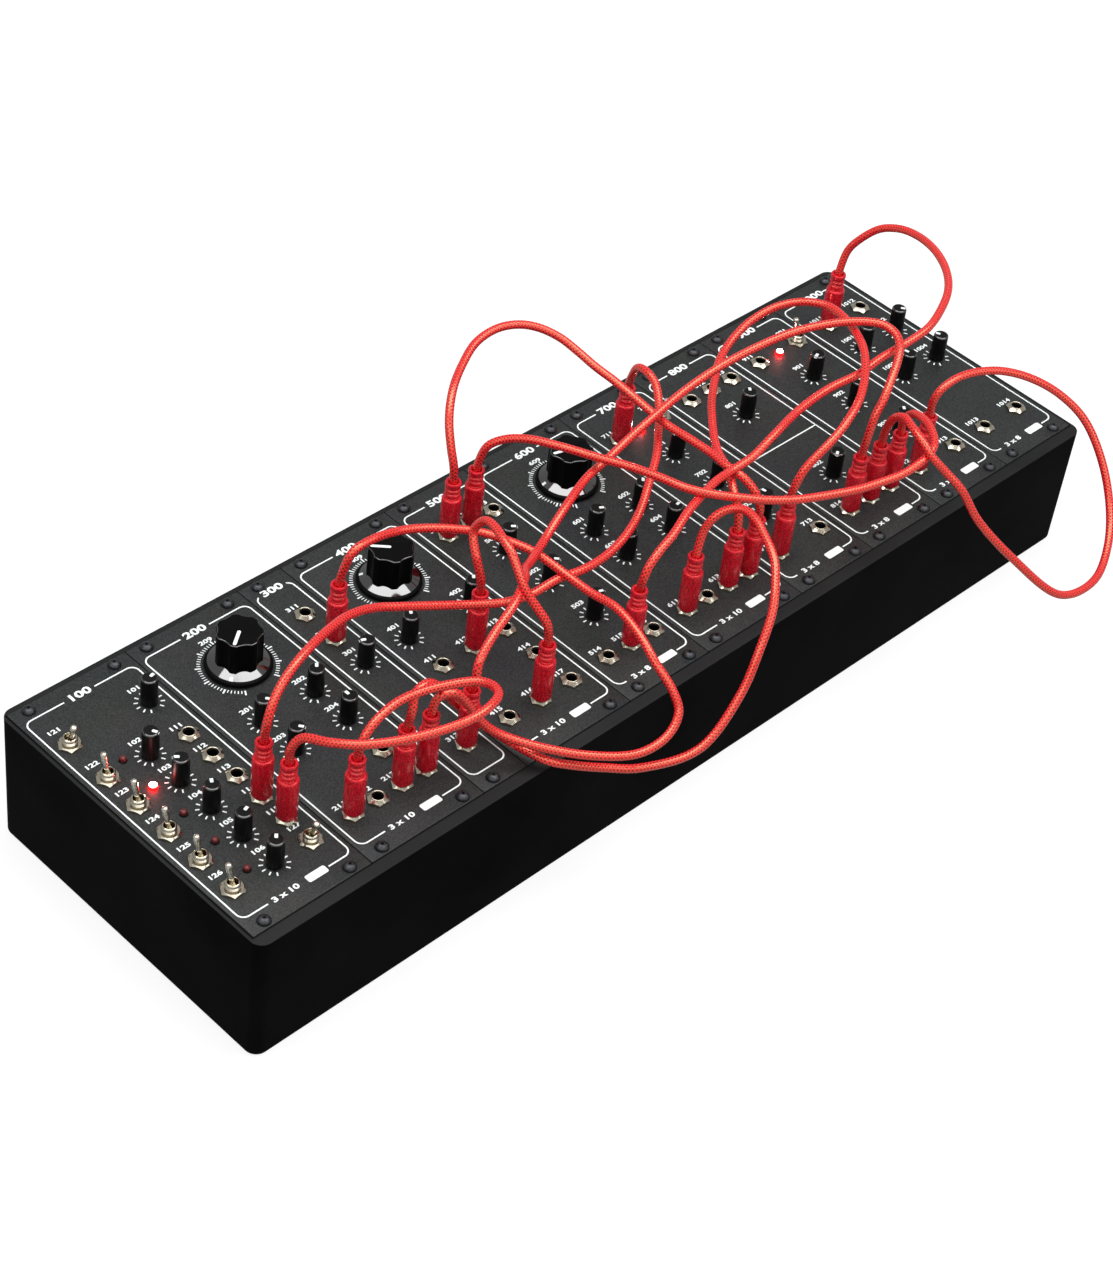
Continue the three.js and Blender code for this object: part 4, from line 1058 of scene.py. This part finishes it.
buff(grip, largeKnob["buffFrom"])
line = pointerBar("line", largeKnob["line"])
bevelEdges(line, edgeAlong(2), largeKnob["line"]["round"], 4)
dress(line, ink, "knob")
dot = block("dot", Vector(largeKnob["dot"]["low"]) * mm, Vector(largeKnob["dot"]["high"]) * mm)
dotLean = Matrix.Rotation(math.radians(largeKnob["dot"]["lean"]), 4, "X")
dot.data.transform(Matrix.Translation(Vector(largeKnob["dot"]["place"]) * mm) @ dotLean)
dress(dot, ink, "knob")
largeMaster = joinPieces("largeMaster", [skirt, cone, grip, line, dot])
for module in modules:
    for name, place in zip(module["large"], module["places"]["large"]):
        placeKnob(largeMaster, name, place)
removeAll([largeMaster])
print("large knobs")

# Lamps: a round lens through the panel, some lit, and those a little wider.
lamp = {
    "height": 2, "litWidth": 1.15, "sides": 24, "darkGlow": 0.02, "litGlow": 60.0,
    "profile": [
        (1.3, -2.4), (1.3, 0.6), (1.25, 1.0), (1.12, 1.38), (0.9, 1.7), (0.62, 1.9), (0.3, 1.98), (0.1, 2.0),
    ],
}
lensDark = makeLens("redEpoxyLens", lamp["darkGlow"])
lensLit = makeLens("litRedEpoxyLens", lamp["litGlow"])
lampMaster = turned("lampMaster", lamp["profile"], lamp["sides"])
for module in modules:
    for i, place in enumerate(module["places"]["lamp"]):
        piece = copyPiece(lampMaster, f"{module['name']}Lamp{i + 1}", (0, 0, 0))
        if i in module["lit"]:
            piece.data.transform(Matrix.Diagonal((lamp["litWidth"], lamp["litWidth"], 1, 1)))
        piece.data.transform(Matrix.Translation(place))
        dress(piece, lensLit if i in module["lit"] else lensDark, "board", 60)
        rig.ride(piece, "synthesizer")
removeAll([lampMaster])
print("lamps")

# Print: a line round each panel, marks round the knobs, and plain numbers. A label has the first
# of its numbers and its place beside its control.
printing = {
    "lift": 0.04, "line": 0.58, "side": 1.95, "front": 7.7, "rear": 7.1, "corner": 3.3, "wide": 1.45,
    "titleSize": 4.4, "titleGap": 13, "labelSize": 2.6, "sizeNumber": 3.0, "sizeReach": 1.27, "bold": 0.035,
    "block": (8.4, 3.2), "blockCorner": 0.7, "blockPlace": 0.66, "blockGap": 10.4, "dividerEnd": 2,
    "small": {"ticks": 11, "every": 1, "from": 3.9, "major": 5.4, "width": 0.55},
    "large": {
        "ticks": 61, "every": 6, "from": 13.15, "minor": 14.5, "major": 15.3, "width": 0.6, "thin": 0.36,
    },
    "labels": {
        "knob": (1, -0.4, 8.0), "jack": (11, -0.8, 5.8), "toggle": (21, -0.4, 8.2), "large": (9, -1.2, 16.3),
    },
}


def flatBar(name, width, start, end, turn=0.0):
    # a flat rectangle from one distance to another along a direction clockwise from the rear
    clearSelection()
    bpy.ops.mesh.primitive_plane_add(size=1)
    piece = bpy.context.object
    piece.name = name
    piece.scale = (width * mm, (end - start) * mm, 1)
    applyPlace()
    piece.data.transform(Matrix.Rotation(-turn, 4, "Z") @ Matrix.Translation((0, (start + end) / 2 * mm, 0)))
    return piece


def tickRing(name, ring):
    ticks = []
    for i in range(ring["ticks"]):
        turn = math.radians(-dial["half"] + dial["span"] * i / (ring["ticks"] - 1))
        wide, reach = ("width", "major") if i % ring["every"] == 0 else ("thin", "minor")
        ticks.append(flatBar("tick", ring[wide], ring["from"], ring[reach], turn))
    return joinPieces(name, ticks)


smallTicks = tickRing("smallTicks", printing["small"])
largeTicks = tickRing("largeTicks", printing["large"])
numbers = {}


def number(text, size, place):
    key = (text, size)
    if key not in numbers:
        clearSelection()
        bpy.ops.object.text_add(location=(0, 0, 0))
        word = bpy.context.object
        word.data.body = text
        word.data.size = size * mm
        word.data.offset = printing["bold"] * size * mm
        word.data.resolution_u = 3
        word.data.align_x = "CENTER"
        word.data.align_y = "CENTER"
        bpy.ops.object.convert(target="MESH")
        numbers[key] = bpy.context.object
        numbers[key].data.transform(Matrix.Diagonal((printing["wide"], 1, 1, 1)))
    return copyPiece(numbers[key], "number", place)


def frameLine(module, blockX):
    # a rounded line round the panel, open at its title and at the number and block on its front edge
    clearSelection()
    front, rear = printing["front"], panel["depth"] - printing["rear"]
    centre = rowPoint(module["left"] + module["width"] / 2, (front + rear) / 2)
    width = module["width"] - 2 * printing["side"] + printing["line"]
    bpy.ops.mesh.primitive_plane_add(size=1, location=centre)
    piece = bpy.context.object
    piece.scale = (width * mm, (rear - front + printing["line"]) * mm, 1)
    applyPlace()
    bpy.ops.object.mode_set(mode="EDIT")
    bpy.ops.mesh.select_all(action="SELECT")
    bpy.ops.mesh.bevel(offset=printing["corner"] * mm, segments=8, affect="VERTICES")
    bpy.ops.mesh.select_all(action="SELECT")
    bpy.ops.mesh.inset(thickness=printing["line"] * mm, depth=0)
    bpy.ops.mesh.delete(type="FACE")
    gaps = [(centre.x, printing["titleGap"] / 2, printing["titleGap"] / 2, True)]
    if module["units"] > screw["narrow"]:
        gaps.append((rowPoint(blockX, 0).x, 2 * printing["blockGap"], printing["blockGap"] / 2, False))
    for x, before, after, atRear in gaps:
        start, end = x - before * mm, x + after * mm
        for side in (start, end):
            bpy.ops.mesh.select_all(action="SELECT")
            bpy.ops.mesh.bisect(plane_co=(side, 0, 0), plane_no=(1, 0, 0))

        def inGap(face):
            spot = face.calc_center_median()
            return start < spot.x < end and (spot.y > centre.y) == atRear

        choose(piece, "FACE", inGap)
        bpy.ops.mesh.delete(type="FACE")
    leaveEdit()
    return piece


for order, module in enumerate(modules, 1):
    middleX = module["left"] + module["width"] / 2
    blockX = module["left"] + printing["blockPlace"] * module["width"]
    marks = [frameLine(module, blockX)]
    titlePlace = rowPoint(middleX, panel["depth"] - printing["rear"])
    marks.append(number(str(100 * order), printing["titleSize"], titlePlace))
    if module["units"] > screw["narrow"]:
        width, depth = printing["block"]
        plain = flatBar("block", width, -depth / 2, depth / 2)
        pick(plain, "VERT", lambda v: True)
        bpy.ops.mesh.bevel(offset=printing["blockCorner"] * mm, segments=4, affect="VERTICES")
        leaveEdit()
        plain.data.transform(Matrix.Translation(rowPoint(blockX, printing["front"])))
        marks.append(plain)
        sizePlace = rowPoint(blockX - printing["sizeReach"] * printing["blockGap"], printing["front"])
        marks.append(number(f"3 x {module['units']}", printing["sizeNumber"], sizePlace))
    if "divider" in module:
        reach = module["width"] / 2 - printing["dividerEnd"]
        divider = flatBar("divider", printing["line"], -reach, reach, math.pi / 2)
        divider.data.transform(Matrix.Translation(rowPoint(middleX, module["divider"] * panel["depth"])))
        marks.append(divider)
    marks += [copyPiece(smallTicks, "copy", place) for place in module["places"]["knob"]]
    marks += [copyPiece(largeTicks, "copy", place) for place in module["places"]["large"]]
    for kind, (first, x, y) in printing["labels"].items():
        for i, place in enumerate(module["places"][kind]):
            text = str(100 * order + first + i)
            marks.append(number(text, printing["labelSize"], place + Vector((x, y, 0)) * mm))
    sheet = joinPieces(module["name"] + "Print", marks)
    activate(sheet)
    modifier = sheet.modifiers.new("thickness", "SOLIDIFY")
    modifier.thickness = printing["lift"] * mm
    modifier.offset = 1
    bpy.ops.object.modifier_apply(modifier=modifier.name)
    dress(sheet, ink, "panel_paint")
    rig.ride(sheet, "synthesizer")
removeAll([smallTicks, largeTicks, *numbers.values()])
print("print")

# Supply inlet in the rear wall: a ring and a pin on the face of its barrel.
ring = turned("inletRing", inlet["ring"], inlet["sides"], hollow=True)
dress(ring, knobPlastic, "board", 30)
pin = turned("inletPin", inlet["pin"], inlet["pinSides"])
dress(pin, nickel, "lever", 40)
socket = joinPieces("supplyInlet", [ring, pin])
socketPlace = Matrix.Translation(inletPlace - Vector((0, inlet["sunk"], 0)) * mm)
socket.data.transform(socketPlace @ Matrix.Rotation(-math.pi / 2, 4, "X"))
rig.ride(socket, "synthesizer")
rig.slot(socket, "board")
print("inlet")

extrusion = makeExtrusion()
for name, material in (("rail_front", extrusion), ("rail_rear", extrusion), ("circuit_boards", makeBoard())):
    node = frame["nodes"][name]
    node.data.materials.clear()
    node.data.materials.append(material)
print("kept nodes")

# Studio: a pale floor and world that the camera sees as white, one long softbox overhead, square to
# the camera's direction, and three weaker ones in an arc in front. A softbox has its angle from the
# front (negative to the left), height above the floor and roll in degrees, its width and depth in
# metres, and its watts. The other sizes here are metres too.
studio = {
    "floor": "#888888", "floorSize": 30, "floorGap": 0.0001, "near": 0.28, "far": 0.6, "lift": (0.78, 1.0),
    "fill": 0.3, "mirror": 0.25, "reach": 1.3, "aim": (0.12, -0.12, 0.05),
    "softboxes": [
        (-44.7, 93, 0, 2.0, 0.6, 20.0), (-95, 40, 10, 0.9, 0.5, 2.8), (-44.7, 45, 0, 0.9, 0.5, 2.8),
        (5, 40, -10, 0.9, 0.5, 2.8),
    ],
}


def seenShare(tree):
    # one for what the camera sees, and a share of it for what a gloss mirrors
    path = addNode(tree, "LightPath", {})
    mirrored = addNode(tree, "Math", {"operation": "MULTIPLY", 1: studio["mirror"]}, {
        0: path.outputs["Is Glossy Ray"],
    })
    seen = addNode(tree, "Math", {"operation": "MAXIMUM"}, {0: path.outputs["Is Camera Ray"], 1: mirrored})
    return path, seen


clearSelection()
bpy.ops.mesh.primitive_plane_add(size=studio["floorSize"], location=(0, 0, caseLow.z - studio["floorGap"]))
floor = bpy.context.object
floor.name = "floor"
floorPaint, floorShader, floorPlace = newMaterial("mattWhiteSweep", {
    "Base Color": studio["floor"], "Roughness": 0.9, "Specular IOR Level": 0.1, "Emission Color": "#ffffff",
})
away = addNode(floorPaint, "VectorMath", {"operation": "LENGTH"}, {0: floorPlace})
lift = addNode(floorPaint, "MapRange", {
    "From Min": studio["near"], "From Max": studio["far"],
    "To Min": studio["lift"][0], "To Max": studio["lift"][1],
}, {"Value": away.outputs["Value"]})
path, seen = seenShare(floorPaint)
glow = addNode(floorPaint, "Math", {"operation": "MULTIPLY"}, {0: seen, 1: lift})
connect(floorPaint, floorShader, {"Emission Strength": glow})
floor.data.materials.append(floorPaint)
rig.stage(floor)

world = bpy.data.worlds.new("studioWorld")
bpy.context.scene.world = world
world.use_nodes = True
background = world.node_tree.nodes["Background"]
background.inputs["Color"].default_value = linear("#ffffff")
path, seen = seenShare(world)
through = addNode(world, "Math", {"operation": "MAXIMUM"}, {0: seen, 1: path.outputs["Is Transmission Ray"]})
level = addNode(world, "MapRange", {"To Min": studio["fill"], "To Max": 1.0}, {"Value": through})
connect(world, background, {"Strength": level})
for side, height, roll, width, depth, watts in studio["softboxes"]:
    clearSelection()
    side, height = math.radians(side), math.radians(height)
    away = Vector((math.sin(side) * math.cos(height), -math.cos(side) * math.cos(height), math.sin(height)))
    place = Vector(studio["aim"]) + away * studio["reach"]
    aim = (-away).to_track_quat("-Z", "Y").to_matrix() @ Matrix.Rotation(math.radians(roll), 3, "Z")
    bpy.ops.object.light_add(type="AREA", location=place, rotation=aim.to_euler())
    light = bpy.context.object.data
    light.shape = "RECTANGLE"
    light.size, light.size_y = width, depth
    light.energy = watts
print("studio")

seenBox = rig.bounds()
with open("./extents.json", "w") as sizes:
    json.dump({"cad": [list(v) for v in cadBox], "visual": [list(v) for v in seenBox]}, sizes)
